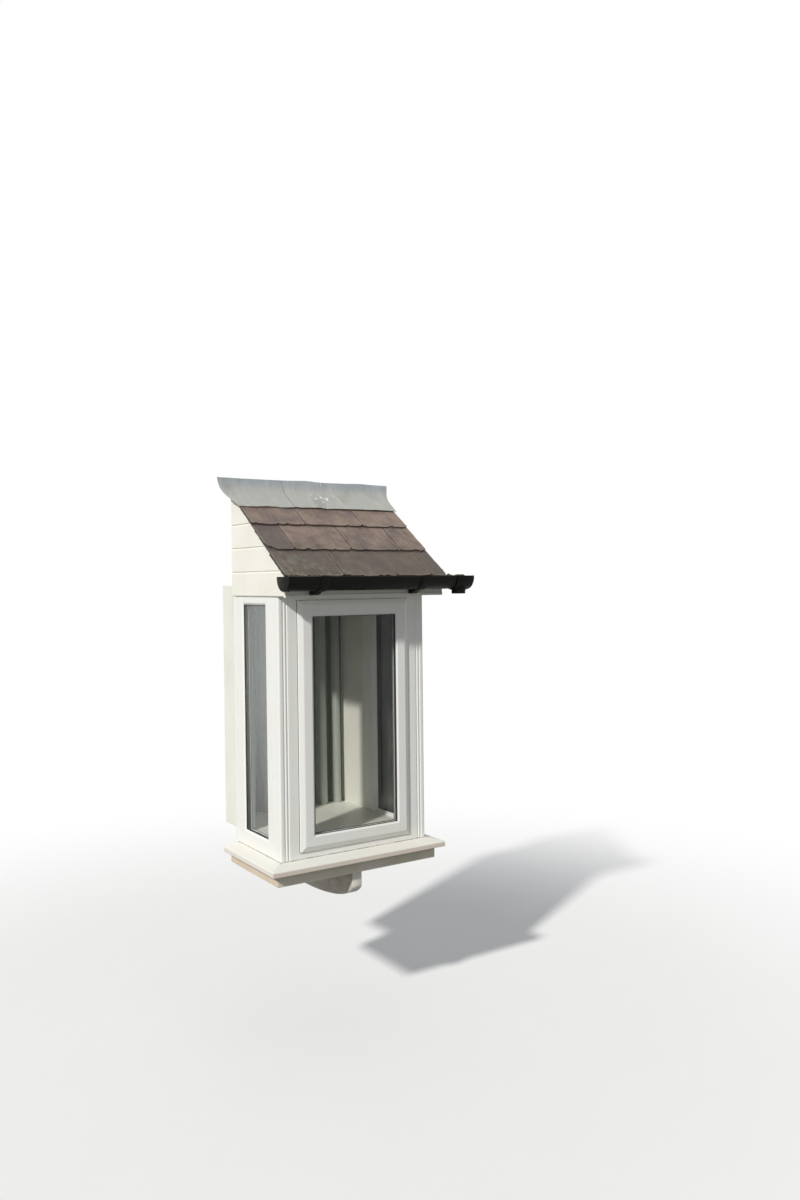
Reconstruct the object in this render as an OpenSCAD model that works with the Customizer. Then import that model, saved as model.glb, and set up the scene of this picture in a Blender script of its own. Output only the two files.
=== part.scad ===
// Square oriel bay window in white plastic profiles, with a lean-to slate roof.
// X runs along the wall, Y into the wall and Z up. The wall face is the plane y = 0,
// and the bay stands out from it towards -y. The origin is the middle of the base board's back.

/* [Bay] */
// Width over the corner posts
bay_w = 800; // [700:10:1200]
// Projection from the wall to the face of the front frame
bay_d = 485; // [420:5:700]
// Height of the window frames
frame_h = 1255; // [1000:5:1500]
// Depth of the window profiles, outside to inside
frame_t = 60; // [54:1:80]
// Face width of a corner post
post_w = 50; // [48:1:80]
// Width of each groove down a corner post
groove_w = 12; // [6:1:12]
// Depth of each groove down a corner post
groove_d = 3; // [2:0.5:6]
// Distance of the first groove's middle from the post's outer edge
groove_in = 25.5; // [23:0.5:27]
// Distance between the two grooves
groove_pitch = 16; // [13:0.5:17]
// Radius of a corner post's outer corner
post_r = 14; // [3:1:16]
// Width of the trim strip between the side windows and the wall
trim_w = 25; // [10:1:40]
// How far the trim strip stands out beside the frame
trim_proud = 4; // [2:1:8]

/* [Casement] */
// Frame seen on each side of the casement
sash_side = 47; // [35:1:60]
// Frame seen below the casement
sash_foot = 32; // [20:1:50]
// Frame and head extension above the casement
sash_head = 57; // [35:1:80]
// Face width of the casement profile
sash_member = 75; // [65:1:90]
// How far the casement stands in front of its frame
sash_proud = 18; // [10:1:24]
// Lap of the casement over its frame
sash_lap = 8; // [5:1:12]
// Width of the bevel round the casement's outer edge
sash_bevel = 24; // [10:1:30]
// Depth of the bevel round the casement's outer edge
sash_bevel_d = 11; // [4:1:15]
// Width of the chamfer that leads in to the glass
glass_chamfer = 9; // [4:1:12]
// Depth of the chamfer that leads in to the glass
glass_chamfer_d = 6; // [3:1:8]
// Gap between the casement's body and its frame
sash_gap = 3; // [2:0.5:5]
// How far the casement's back lies in front of the frame's back
sash_shy = 2; // [0:1:6]
// Width of the handle's plate
handle_w = 28; // [20:1:34]
// Height of the handle's plate
handle_h = 70; // [50:1:90]
// Thickness of the handle's plate
handle_t = 8; // [5:1:12]
// Length of the handle's lever
lever_l = 118; // [80:1:140]
// Width of the lever
lever_w = 18; // [12:1:22]
// Thickness of the lever
lever_t = 12; // [8:1:16]
// How far the lever's face stands off the casement
lever_out = 34; // [28:1:45]
// Face width of the side windows' profile
side_member = 78; // [65:1:90]

/* [Glass] */
// Thickness of one pane
pane_t = 4; // [3:1:6]
// Air space between the two panes
cavity = 16; // [10:1:20]
// How far the glass goes into its frame on each side
glass_bite = 12; // [8:1:15]
// Frame in front of the glass
glass_set = 8; // [6:1:12]
// Width of the spacer bar between the panes
spacer_w = 9; // [7:1:12]
// Thickness of the glazing bead behind the glass, front to back
bead_t = 16; // [10:1:18]

/* [Sill and base] */
// Thickness of the sill under the frame
sill_t = 40; // [30:1:50]
// How far the sill stands out from the frame
sill_over = 72; // [50:1:100]
// Fall of the sill's top from the frame to the nose
sill_fall = 18; // [8:1:24]
// Height of the nose's face
nose_h = 25; // [20:1:35]
// Thickness of the nose behind its face
nose_t = 10; // [6:1:14]
// Thickness of the base board
base_t = 60; // [40:2:80]
// How far the aprons stand out from the frame
apron_over = 34; // [25:1:45]
// Thickness of the aprons
apron_t = 18; // [12:1:25]
// Height of the block between the base board and the inner board
base_block_h = 80; // [60:1:100]
// Thickness of the inner window board
board_t = 24; // [18:1:30]

/* [Bracket] */
// Thickness of the bracket under the base
bracket_w = 54; // [40:1:80]
// Height of the bracket's front face
bracket_nose = 69; // [40:1:90]
// Drop of the curved underside from the front to the wall
bracket_drop = 110; // [60:5:180]
// Space between the bracket's front face and the base board's front edge
bracket_back = 12; // [5:1:60]

/* [Roof] */
// Height of the slates' underside over the fascia's face, above the top of the frames
eaves_rise = 65; // [60:1:120]
// Rise of the roof for each millimetre that it runs
roof_slope = 0.73; // [0.6:0.01:0.8]
// How far the eaves box stands out from the front frame
eaves_over = 95; // [70:1:130]
// How far the roof runs past the frame on its free right end
verge_over = 54; // [30:1:80]
// Upright thickness of the roof deck
deck_t = 22; // [15:1:30]
// Upright depth of the rafters
rafter_h = 62; // [50:1:80]
// Width of a rafter
rafter_w = 38; // [30:1:50]
// Height of the head plates over the side windows
plate_h = 40; // [30:1:50]
// Height of the ledger on the wall
ledger_h = 100; // [60:1:120]
// Thickness of the cheek boards
cheek_t = 9; // [6:1:15]
// How far the cheeks lap down over the frames
cheek_lap = 39; // [20:1:45]
// Thickness of the fascia and the barge board
fascia_t = 18; // [15:1:25]
// How far the fascia hangs below the cheeks
fascia_drop = 3; // [0:1:6]
// How far the fascia hangs below the soffit
fascia_lip = 7; // [3:1:12]
// Thickness of the eaves soffit
soffit_t = 8; // [6:1:12]
// Height of the barge board at the free right end
barge_h = 95; // [70:1:120]
// Thickness of the ceiling board
ceiling_t = 12; // [9:1:18]

/* [Slates and lead] */
// How far the eaves slates hang over the fascia
slate_drip = 37; // [25:1:50]
// Length of slate that shows in each course, along the level
slate_gauge = 173; // [140:1:200]
// Upright height of a course at its lower edge
slate_tail = 20; // [14:1:26]
// Upright step from one course down to the next
slate_step = 9; // [5:1:12]
// How far the slates stand out past the left cheek
slate_verge = 16; // [5:1:30]
// How far the slates stand out past the barge board
slate_verge_r = 8; // [3:1:30]
// Thickness of the lead
lead_t = 3; // [2:0.5:4]
// Height of the lead's upstand on the wall
lead_up = 62; // [50:1:120]
// How far the lead runs down over the slates, along the level
lead_run = 148; // [100:1:180]
// How far the lead passes the slates at the wall, left
lead_wing = 58; // [20:1:80]
// How far the lead passes the slates at the wall, right
lead_wing_r = 41; // [20:1:80]
// How far the lead passes the slates at its lower edge
lead_lap = 4; // [1:1:12]

/* [Gutter] */
// Outer radius of the half-round gutter
gutter_r = 59; // [50:1:70]
// Thickness of the gutter
gutter_t = 3; // [2:0.5:4]
// Straight height of the gutter's sides above the half round
gutter_side = 5; // [2:1:10]
// Gap between the gutter's back and the fascia
gutter_gap = 4; // [3:1:8]
// Drop of the gutter's edge below the top of the fascia
gutter_drop = 13; // [10:1:30]
// How far the gutter runs past the left end of the fascia
gutter_left = 38; // [20:1:60]
// How far the gutter runs past the right end of the fascia
gutter_right = 99; // [20:1:120]
// Width of a gutter bracket
bracket_strap = 44; // [30:1:80]
// Width of the bracket's back plate
bracket_plate = 36; // [20:1:60]
// How far the bracket's back plate reaches below the gutter
bracket_tail = 20; // [5:1:25]
// Distance of each gutter bracket from the bay's middle
bracket_x = 270; // [150:5:330]
// Length of the outlet fitting at the gutter's right end
outlet_l = 94; // [80:1:140]
// Outer diameter of the outlet's spigot
spigot_d = 68; // [50:1:75]
// How far the spigot reaches below the gutter
spigot_l = 24; // [16:1:60]
// How far the shoulder round the spigot reaches below the gutter
shoulder_drop = 6; // [5:1:12]
// How far the shoulder stands out beside the spigot
shoulder_out = 4; // [2:1:8]
// Length of the stop end's collar
collar_l = 22; // [15:1:40]
// Thickness of the plates that close the gutter's ends
plate_t = 4; // [2:1:6]
// Play between the gutter and what holds it
gutter_play = 0.3; // [0.2:0.1:0.6]

/* [Wall opening] */
// Depth of the linings into the wall
lining_d = 245; // [100:5:300]
// Thickness of the linings
lining_t = 15; // [12:1:20]
// Height of the curtain rail
rail_h = 14; // [10:1:20]
// Width of the curtain rail
rail_w = 22; // [16:1:30]
// Distance of the rail's middle from the inner end of the linings
rail_in = 34; // [33:1:50]
// Depth of the curtain folds, front to back
fold_depth = 60; // [20:1:60]
// Thickness of a curtain's solid
cloth_t = 3; // [2:0.5:4]
// Number of folds in one curtain
folds = 4; // [3:1:9]
// Space between the two curtains where they meet
curtain_part = 24; // [6:1:200]
// Clearance round a curtain
cloth_gap = 5; // [3:1:12]

/* [Hidden] */
$fn = 96;

// Colours
plastic = "#f1efe6";
board_white = "#f4f1e6";
timber = "#c9a878";
ply = "#b9986a";
slate = "#7b6c66";
lead = "#a9adab";
black = "#1d1d1c";
clear = "#9fb0a8";
metal = "#2f3633";
foam = "#e6dcb8";
cloth = "#9a9a8c";

// Levels
half_w = bay_w / 2;
base_top = base_t / 2;
frame_z = base_top + sill_t;
frame_top = frame_z + frame_h;
cheek_z = frame_top - cheek_lap;
fascia_z = cheek_z - fascia_drop;
soffit_z = fascia_z + fascia_lip;
board_z = base_top + base_block_h;
board_top = board_z + board_t;

// Inside faces
in_x = half_w - frame_t;
in_y = -bay_d + frame_t;
eps = 1;

// Roof surfaces at depth y
function slate_under(y) = frame_top + eaves_rise + roof_slope * (y - fascia_y);
function rafter_top(y) = slate_under(y) - deck_t;
function rafter_under(y) = rafter_top(y) - rafter_h;
fascia_y = -bay_d - eaves_over;
fascia_back = fascia_y + fascia_t;
cheek_x = half_w + cheek_t;
roof_l = -cheek_x - slate_verge;
roof_r = half_w + verge_over + slate_verge_r;
eaves_y = fascia_y - slate_drip;

// Casement and glass
front_w = bay_w - 2 * post_w;
sash_w = front_w - 2 * sash_side;
sash_h = frame_h - sash_foot - sash_head;
sash_z = frame_z + sash_foot;
sash_t = frame_t + sash_proud - sash_shy;
unit_t = 2 * pane_t + cavity;
sight_w = sash_w - 2 * sash_member;
sight_h = sash_h - 2 * sash_member;
side_w = bay_d - frame_t - trim_w;
side_y = -bay_d + frame_t + side_w / 2;
side_sight_w = side_w - 2 * side_member;
side_sight_h = frame_h - 2 * side_member;

// Gutter
gutter_y = fascia_y - gutter_gap - gutter_r;
gutter_lip = slate_under(fascia_y) - gutter_drop;
gutter_foot = gutter_lip - gutter_side - gutter_r;
gutter_x0 = -cheek_x - gutter_left;
gutter_x1 = half_w + verge_over + gutter_right;
outlet_x = gutter_x1 - outlet_l / 2;

// A box given by its lowest and highest corners
module block(low, high) {
    translate(low)
        cube([high[0] - low[0], high[1] - low[1], high[2] - low[2]]);
}

// A profile drawn in y and z, carried along x from x0 to x1
module along_x(x0, x1) {
    translate([x0, 0, 0])
        rotate([90, 0, 90])
            linear_extrude(x1 - x0)
                children();
}

// A rectangular ring in the xz plane: width w, height h, member m, from y0 to y1
module ring(w, h, m, y0, y1) {
    difference() {
        block([-w / 2, y0, 0], [w / 2, y1, h]);
        block([-w / 2 + m, y0 - eps, m], [w / 2 - m, y1 + eps, h - m]);
    }
}

// A slab w by h by t that stands on z = 0, with its front edges bevelled
module bevelled_slab(w, h, t, bevel, depth) {
    intersection() {
        along_x(-w / 2, w / 2)
            polygon([[0, bevel], [depth, 0], [t, 0], [t, h], [depth, h], [0, h - bevel]]);
        linear_extrude(h)
            polygon([
                [-w / 2 + bevel, 0], [w / 2 - bevel, 0],
                [w / 2, depth], [w / 2, t], [-w / 2, t], [-w / 2, depth]
            ]);
    }
}

// The flared mouth of a w by h sight opening that stands on z = 0, with the face at y = 0
module mouth(w, h) {
    c = glass_chamfer;
    d = glass_chamfer_d;
    flare = c + eps * c / d;
    intersection() {
        along_x(-w / 2 - 2 * c, w / 2 + 2 * c)
            polygon([[-eps, -flare], [d, 0], [d + eps, 0], [d + eps, h], [d, h], [-eps, h + flare]]);
        translate([0, 0, -2 * c])
            linear_extrude(h + 4 * c)
                polygon([
                    [-w / 2 - flare, -eps], [w / 2 + flare, -eps],
                    [w / 2, d], [w / 2, d + eps], [-w / 2, d + eps], [-w / 2, d]
                ]);
    }
}

// The fixed frame of a window with one rebate for its glass and bead.
// It stands on z = 0 with its outer face at y = 0 and its inner face at y = depth.
module glazed_ring(w, h, m, depth) {
    difference() {
        ring(w, h, m, 0, depth);
        block([-w / 2 + m - glass_bite, glass_set, m - glass_bite],
              [w / 2 - m + glass_bite, depth + eps, h - m + glass_bite]);
        translate([0, 0, m])
            mouth(w - 2 * m, h - 2 * m);
    }
}

// Two panes that fill the rebate of a ring with sight size w by h
module panes(w, h) {
    for (y = [glass_set, glass_set + pane_t + cavity])
        block([-w / 2 - glass_bite, y, -glass_bite], [w / 2 + glass_bite, y + pane_t, h + glass_bite]);
}

// The spacer bar between the panes
module spacer(w, h) {
    translate([0, 0, -glass_bite])
        ring(w + 2 * glass_bite, h + 2 * glass_bite, spacer_w,
             glass_set + pane_t, glass_set + pane_t + cavity);
}

// The bead that holds the panes from inside
module bead(w, h) {
    back = glass_set + unit_t;
    translate([0, 0, -glass_bite])
        ring(w + 2 * glass_bite, h + 2 * glass_bite, glass_bite, back, back + bead_t);
}

// Places a ring drawn in front view into the front window's casement
module at_casement() {
    translate([0, -bay_d - sash_proud, sash_z + sash_member])
        children();
}

// Places a ring drawn in front view into the left side window
module at_left() {
    translate([-half_w, side_y, frame_z])
        rotate([0, 0, -90])
            children();
}

module at_right() {
    mirror([1, 0, 0])
        at_left()
            children();
}

// The front frame: jambs, foot, and a head that holds the head extension
module front_frame() {
    color(plastic)
        difference() {
            block([-front_w / 2, -bay_d, frame_z], [front_w / 2, in_y, frame_top]);
            block([-sash_w / 2 + sash_lap, -bay_d - eps, sash_z + sash_lap],
                  [sash_w / 2 - sash_lap, in_y + eps, sash_z + sash_h - sash_lap]);
        }
}

// The opening casement: a bevelled face that laps the frame, and a body inside the frame
module front_sash() {
    body_w = sash_w - 2 * sash_lap - 2 * sash_gap;
    body_z = sash_lap + sash_gap;
    color(plastic)
        translate([0, -bay_d - sash_proud, sash_z])
            difference() {
                union() {
                    bevelled_slab(sash_w, sash_h, sash_proud, sash_bevel, sash_bevel_d);
                    block([-body_w / 2, sash_proud, body_z], [body_w / 2, sash_t, sash_h - body_z]);
                }
                block([-sight_w / 2, -eps, sash_member], [sight_w / 2, sash_t + eps, sash_member + sight_h]);
                block([-sight_w / 2 - glass_bite, glass_set, sash_member - glass_bite],
                      [sight_w / 2 + glass_bite, sash_t + eps, sash_member + sight_h + glass_bite]);
                translate([0, 0, sash_member])
                    mouth(sight_w, sight_h);
            }
}

// The casement's handle: a plate on the left stile, a neck, and a lever that hangs down
module casement_handle() {
    x = -(sight_w / 2 + glass_bite + (sash_member - glass_bite - sash_lap - sash_gap) / 2);
    z = sash_z + sash_h / 2;
    face_y = -bay_d - sash_proud + sash_t;
    color(plastic)
        union() {
            block([x - handle_w / 2, face_y, z - handle_h / 2],
                  [x + handle_w / 2, face_y + handle_t, z + handle_h / 2]);
            translate([x, face_y, z])
                rotate([-90, 0, 0])
                    cylinder(h = lever_out, d = lever_w);
            block([x - lever_w / 2, face_y + lever_out - lever_t, z - lever_l],
                  [x + lever_w / 2, face_y + lever_out, z]);
        }
}

module front_glass() {
    color(clear)
        at_casement()
            panes(sight_w, sight_h);
}

module left_frame() {
    color(plastic)
        at_left()
            glazed_ring(side_w, frame_h, side_member, frame_t);
}

module right_frame() {
    color(plastic)
        at_right()
            glazed_ring(side_w, frame_h, side_member, frame_t);
}

module left_glass() {
    color(clear)
        at_left()
            translate([0, 0, side_member])
                panes(side_sight_w, side_sight_h);
}

module right_glass() {
    color(clear)
        at_right()
            translate([0, 0, side_member])
                panes(side_sight_w, side_sight_h);
}

module glazing_beads() {
    color(plastic) {
        at_casement()
            bead(sight_w, sight_h);
        at_left()
            translate([0, 0, side_member])
                bead(side_sight_w, side_sight_h);
        at_right()
            translate([0, 0, side_member])
                bead(side_sight_w, side_sight_h);
    }
}

module glass_spacers() {
    color(metal) {
        at_casement()
            spacer(sight_w, sight_h);
        at_left()
            translate([0, 0, side_member])
                spacer(side_sight_w, side_sight_h);
        at_right()
            translate([0, 0, side_member])
                spacer(side_sight_w, side_sight_h);
    }
}

// Plan of the left corner post, with a round outer corner and two V grooves down its front face
module post_plan() {
    difference() {
        translate([-half_w, -bay_d]) {
            translate([post_r, 0])
                square([post_w - post_r, frame_t]);
            translate([0, post_r])
                square([post_w, frame_t - post_r]);
            translate([post_r, post_r])
                circle(r = post_r, $fn = 64);
        }
        for (x = [groove_in, groove_in + groove_pitch])
            translate([-half_w + x, -bay_d])
                polygon([[-groove_w / 2, 0], [-groove_w / 2, -eps], [groove_w / 2, -eps],
                         [groove_w / 2, 0], [0, groove_d]]);
    }
}

module left_corner_post() {
    color(plastic)
        translate([0, 0, frame_z])
            linear_extrude(frame_h)
                post_plan();
}

module right_corner_post() {
    color(plastic)
        translate([0, 0, frame_z])
            linear_extrude(frame_h)
                mirror([1, 0])
                    post_plan();
}

module left_wall_trim() {
    color(plastic)
        block([-half_w - trim_proud, -trim_w, frame_z], [-in_x, 0, cheek_z]);
}

module right_wall_trim() {
    color(plastic)
        block([in_x, -trim_w, frame_z], [half_w + trim_proud, 0, cheek_z]);
}

// Section of the sill, drawn as [distance out from the frame's face, height]
module sill_section() {
    polygon([
        [-frame_t, base_top],
        [-frame_t, frame_z],
        [0, frame_z],
        [sill_over, frame_z - sill_fall],
        [sill_over, frame_z - sill_fall - nose_h],
        [sill_over - nose_t, frame_z - sill_fall - nose_h],
        [sill_over - nose_t, base_top]
    ]);
}

// Plan of the front sill, mitred at both corners
module front_sill_plan() {
    polygon([
        [-in_x, in_y],
        [in_x, in_y],
        [half_w + sill_over, -bay_d - sill_over],
        [-half_w - sill_over, -bay_d - sill_over]
    ]);
}

module front_sill() {
    color(plastic)
        intersection() {
            along_x(-half_w - sill_over, half_w + sill_over)
                translate([-bay_d, 0])
                    mirror([1, 0])
                        sill_section();
            linear_extrude(frame_z + eps)
                front_sill_plan();
        }
}

// The left sill runs from the wall to the mitre with the front sill
module left_sill() {
    color(plastic)
        difference() {
            translate([-half_w, 0, 0])
                rotate([90, 0, 0])
                    linear_extrude(bay_d + sill_over)
                        mirror([1, 0])
                            sill_section();
            translate([0, 0, -eps])
                linear_extrude(frame_z + 3 * eps)
                    polygon([
                        [-in_x + 2 * eps, in_y + 2 * eps],
                        [-half_w - sill_over - eps, -bay_d - sill_over - eps],
                        [-in_x + 2 * eps, -bay_d - sill_over - eps]
                    ]);
        }
}

module right_sill() {
    mirror([1, 0, 0])
        left_sill();
}

module front_apron() {
    color(board_white)
        block([-half_w - apron_over, -bay_d - apron_over, -base_top],
              [half_w + apron_over, -bay_d - apron_over + apron_t, base_top]);
}

module left_apron() {
    color(board_white)
        block([-half_w - apron_over, -bay_d - apron_over + apron_t, -base_top],
              [-half_w - apron_over + apron_t, 0, base_top]);
}

module right_apron() {
    color(board_white)
        block([half_w + apron_over - apron_t, -bay_d - apron_over + apron_t, -base_top],
              [half_w + apron_over, 0, base_top]);
}

module base_board() {
    edge = half_w + apron_over - apron_t;
    color(ply)
        block([-edge, -bay_d - apron_over + apron_t, -base_top], [edge, 0, base_top]);
}

module base_block() {
    color(foam)
        block([-in_x, in_y, base_top], [in_x, 0, board_z]);
}

module inner_board() {
    color(board_white)
        block([-in_x, in_y, board_z], [in_x, lining_d, board_top]);
}

// The bracket below the base: an upright nose, and an underside that swells down to the wall
module centre_bracket() {
    reach = bay_d + apron_over - apron_t - bracket_back;
    nose_z = -base_top - bracket_nose;
    belly = [for (a = [0:5:90]) [-reach * cos(a), nose_z - bracket_drop * sin(a)]];
    color(board_white)
        along_x(-bracket_w / 2, bracket_w / 2)
            polygon(concat([[0, -base_top], [-reach, -base_top]], belly));
}

// Timber plates on the frames: level at the sides, cut to the rafters at the front
module head_plates() {
    color(timber)
        union() {
            for (side = [-1, 1])
                block([side < 0 ? -half_w : in_x, -bay_d, frame_top],
                      [side < 0 ? -in_x : half_w, 0, frame_top + plate_h]);
            along_x(-half_w, half_w)
                polygon([
                    [-bay_d, frame_top],
                    [in_y, frame_top],
                    [in_y, rafter_under(in_y)],
                    [-bay_d, rafter_under(-bay_d)]
                ]);
        }
}

// One stud on each side between the plate and the rafter above it
module cheek_studs() {
    stud_y = in_y / 2;
    color(timber)
        for (side = [-1, 1])
            along_x(side < 0 ? -half_w : half_w - rafter_w, side < 0 ? -half_w + rafter_w : half_w)
                polygon([
                    [stud_y - rafter_w / 2, frame_top + plate_h],
                    [stud_y + rafter_w / 2, frame_top + plate_h],
                    [stud_y + rafter_w / 2, rafter_under(stud_y + rafter_w / 2)],
                    [stud_y - rafter_w / 2, rafter_under(stud_y - rafter_w / 2)]
                ]);
}

// The left cheek closes the roof's end up to the slates
module left_cheek() {
    color(board_white)
        along_x(-cheek_x, -half_w)
            polygon([
                [0, cheek_z],
                [fascia_back, cheek_z],
                [fascia_back, slate_under(fascia_back)],
                [0, slate_under(0)]
            ]);
}

// The right cheek stops under the deck, which runs past it
module right_cheek() {
    color(board_white)
        along_x(half_w, cheek_x)
            polygon([
                [0, cheek_z],
                [fascia_back, cheek_z],
                [fascia_back, rafter_top(fascia_back)],
                [0, rafter_top(0)]
            ]);
}

module ceiling_board() {
    color(board_white)
        block([-in_x, in_y, frame_top], [in_x, 0, frame_top + ceiling_t]);
}

module wall_ledger() {
    color(timber)
        along_x(-half_w, half_w)
            polygon([
                [0, rafter_under(-rafter_w) - ledger_h],
                [-rafter_w, rafter_under(-rafter_w) - ledger_h],
                [-rafter_w, rafter_under(-rafter_w)],
                [0, rafter_under(0)]
            ]);
}

module rafters() {
    color(timber)
        for (x = [-half_w, -rafter_w / 2, half_w - rafter_w])
            along_x(x, x + rafter_w)
                polygon([
                    [0, rafter_under(0)],
                    [fascia_back, rafter_under(fascia_back)],
                    [fascia_back, rafter_top(fascia_back)],
                    [0, rafter_top(0)]
                ]);
}

module roof_deck() {
    color(ply)
        along_x(-half_w, half_w + verge_over - fascia_t)
            polygon([
                [0, rafter_top(0)],
                [fascia_back, rafter_top(fascia_back)],
                [fascia_back, slate_under(fascia_back)],
                [0, slate_under(0)]
            ]);
}

module eaves_soffit() {
    color(board_white)
        block([-half_w, fascia_back, soffit_z], [half_w, -bay_d, soffit_z + soffit_t]);
}

module front_fascia() {
    color(board_white)
        along_x(-cheek_x, half_w + verge_over)
            polygon([
                [fascia_y, fascia_z],
                [fascia_back, fascia_z],
                [fascia_back, slate_under(fascia_back)],
                [fascia_y, slate_under(fascia_y)]
            ]);
}

module right_barge_board() {
    color(board_white)
        along_x(half_w + verge_over - fascia_t, half_w + verge_over)
            polygon([
                [0, slate_under(0) - barge_h],
                [fascia_back, max(fascia_z, slate_under(fascia_back) - barge_h)],
                [fascia_back, slate_under(fascia_back)],
                [0, slate_under(0)]
            ]);
}

// Lower edges of the courses that show, from the eaves up
function course_y(i) = eaves_y + i * slate_gauge;

// Top of the upper course, which runs on under the lead to the wall
function slate_top(y) =
    slate_under(y) + slate_tail - slate_step * (y - course_y(2)) / slate_gauge;

module slate_courses() {
    color(slate)
        along_x(roof_l, roof_r)
            polygon([
                [0, slate_under(0)],
                [eaves_y, slate_under(eaves_y)],
                [eaves_y, slate_under(eaves_y) + slate_tail],
                [course_y(1), slate_under(course_y(1)) + slate_tail - slate_step],
                [course_y(1), slate_under(course_y(1)) + slate_tail],
                [course_y(2), slate_under(course_y(2)) + slate_tail - slate_step],
                [course_y(2), slate_under(course_y(2)) + slate_tail],
                [0, slate_top(0)]
            ]);
}

// The lead stands on the wall and lies down over the slates. Its ends are cut to a slant.
module lead_flashing() {
    lap_l = roof_l - lead_lap;
    lap_r = roof_r + lead_lap;
    top = slate_top(0) + lead_up;
    color(lead)
        intersection() {
            along_x(roof_l - lead_wing, roof_r + lead_wing_r)
                polygon([
                    [0, slate_top(0)],
                    [-lead_run, slate_top(-lead_run)],
                    [-lead_run, slate_top(-lead_run) + lead_t],
                    [-lead_t, slate_top(-lead_t) + lead_t],
                    [-lead_t, top],
                    [0, top]
                ]);
            linear_extrude(top + eps)
                polygon([
                    [roof_l - lead_wing, eps],
                    [roof_l - lead_wing, -lead_t],
                    [lap_l, -lead_run - eps],
                    [lap_r, -lead_run - eps],
                    [roof_r + lead_wing_r, -lead_t],
                    [roof_r + lead_wing_r, eps]
                ]);
        }
}

// Section of the gutter's channel with outer radius r and thickness t
module gutter_section(r, t) {
    translate([gutter_y, gutter_lip - gutter_side])
        difference() {
            union() {
                circle(r);
                translate([-r, 0])
                    square([2 * r, gutter_side]);
            }
            circle(r - t);
            translate([-r + t, 0])
                square([2 * (r - t), r + gutter_side]);
            translate([-r - eps, gutter_side])
                square([2 * (r + eps), r]);
        }
}

// The whole outline that closes the channel's end
module gutter_end_section(r) {
    translate([gutter_y, gutter_lip - gutter_side])
        difference() {
            union() {
                circle(r);
                translate([-r, 0])
                    square([2 * r, gutter_side]);
            }
            translate([-r - eps, gutter_side])
                square([2 * (r + eps), r]);
        }
}

// The hole through the outlet's spigot
module outlet_bore() {
    translate([outlet_x, gutter_y, gutter_foot - spigot_l - eps])
        cylinder(h = spigot_l + gutter_r + eps, d = spigot_d - 2 * gutter_t);
}

module gutter() {
    color(black)
        difference() {
            along_x(gutter_x0, gutter_x1)
                gutter_section(gutter_r, gutter_t);
            outlet_bore();
        }
}

// A plate over the left end, with a collar round the channel
module gutter_stop_end() {
    r = gutter_r + gutter_play + gutter_t;
    color(black)
        union() {
            along_x(gutter_x0 - plate_t, gutter_x0)
                gutter_end_section(r);
            along_x(gutter_x0, gutter_x0 + collar_l)
                gutter_section(r, gutter_t);
        }
}

// The right end: a plate, a long collar, and a spigot that a downpipe pushes on to.
// The downpipe stops against the shoulder round the spigot.
module gutter_outlet() {
    r = gutter_r + gutter_play + gutter_t;
    color(black)
        difference() {
            union() {
                along_x(gutter_x1, gutter_x1 + plate_t)
                    gutter_end_section(r);
                along_x(gutter_x1 - outlet_l, gutter_x1)
                    gutter_section(r, gutter_t);
                difference() {
                    union() {
                        translate([outlet_x, gutter_y, gutter_foot - spigot_l])
                            cylinder(h = spigot_l + gutter_r, d = spigot_d);
                        translate([outlet_x, gutter_y, gutter_foot - shoulder_drop])
                            cylinder(h = shoulder_drop + gutter_r, d = spigot_d + 2 * shoulder_out);
                    }
                    along_x(gutter_x1 - outlet_l, gutter_x1)
                        translate([gutter_y, gutter_lip - gutter_side])
                            circle(r - gutter_t / 2);
                }
            }
            outlet_bore();
        }
}

// Each bracket is a strap under the gutter and a back plate on the fascia
module gutter_brackets() {
    r = gutter_r + gutter_gap;
    plate_z = gutter_foot - bracket_tail;
    color(black)
        for (x = [-bracket_x, bracket_x])
            union() {
                along_x(x - bracket_strap / 2, x + bracket_strap / 2)
                    gutter_section(r, gutter_gap - gutter_play);
                block([x - bracket_plate / 2, fascia_y - gutter_gap + gutter_play, plate_z],
                      [x + bracket_plate / 2, fascia_y, gutter_lip]);
            }
}

module left_reveal_lining() {
    color(board_white)
        block([-in_x - lining_t, 0, board_z], [-in_x, lining_d, frame_top]);
}

module right_reveal_lining() {
    color(board_white)
        block([in_x, 0, board_z], [in_x + lining_t, lining_d, frame_top]);
}

module head_lining() {
    color(board_white)
        block([-in_x - lining_t, 0, frame_top], [in_x + lining_t, lining_d, frame_top + lining_t]);
}

module curtain_rail() {
    rail_y = lining_d - rail_in;
    color(plastic)
        block([-in_x, rail_y - rail_w / 2, frame_top - rail_h], [in_x, rail_y + rail_w / 2, frame_top]);
}

// Plan of a curtain: a wave of even thickness from x0 to x1
module curtain_plan(x0, x1) {
    steps = folds * 12;
    reach = (fold_depth - cloth_t) / 2;
    rail_y = lining_d - rail_in;
    wave = [for (i = [0:steps]) [x0 + (x1 - x0) * i / steps, rail_y + reach * sin(360 * folds * i / steps)]];
    polygon(concat(
        [for (p = wave) [p[0], p[1] - cloth_t / 2]],
        [for (i = [steps:-1:0]) [wave[i][0], wave[i][1] + cloth_t / 2]]
    ));
}

module left_curtain() {
    color(cloth)
        translate([0, 0, board_top + cloth_gap])
            linear_extrude(frame_top - rail_h - board_top - cloth_gap)
                curtain_plan(-in_x + cloth_gap, -curtain_part / 2);
}

module right_curtain() {
    color(cloth)
        translate([0, 0, board_top + cloth_gap])
            linear_extrude(frame_top - rail_h - board_top - cloth_gap)
                curtain_plan(curtain_part / 2, in_x - cloth_gap);
}

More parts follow.
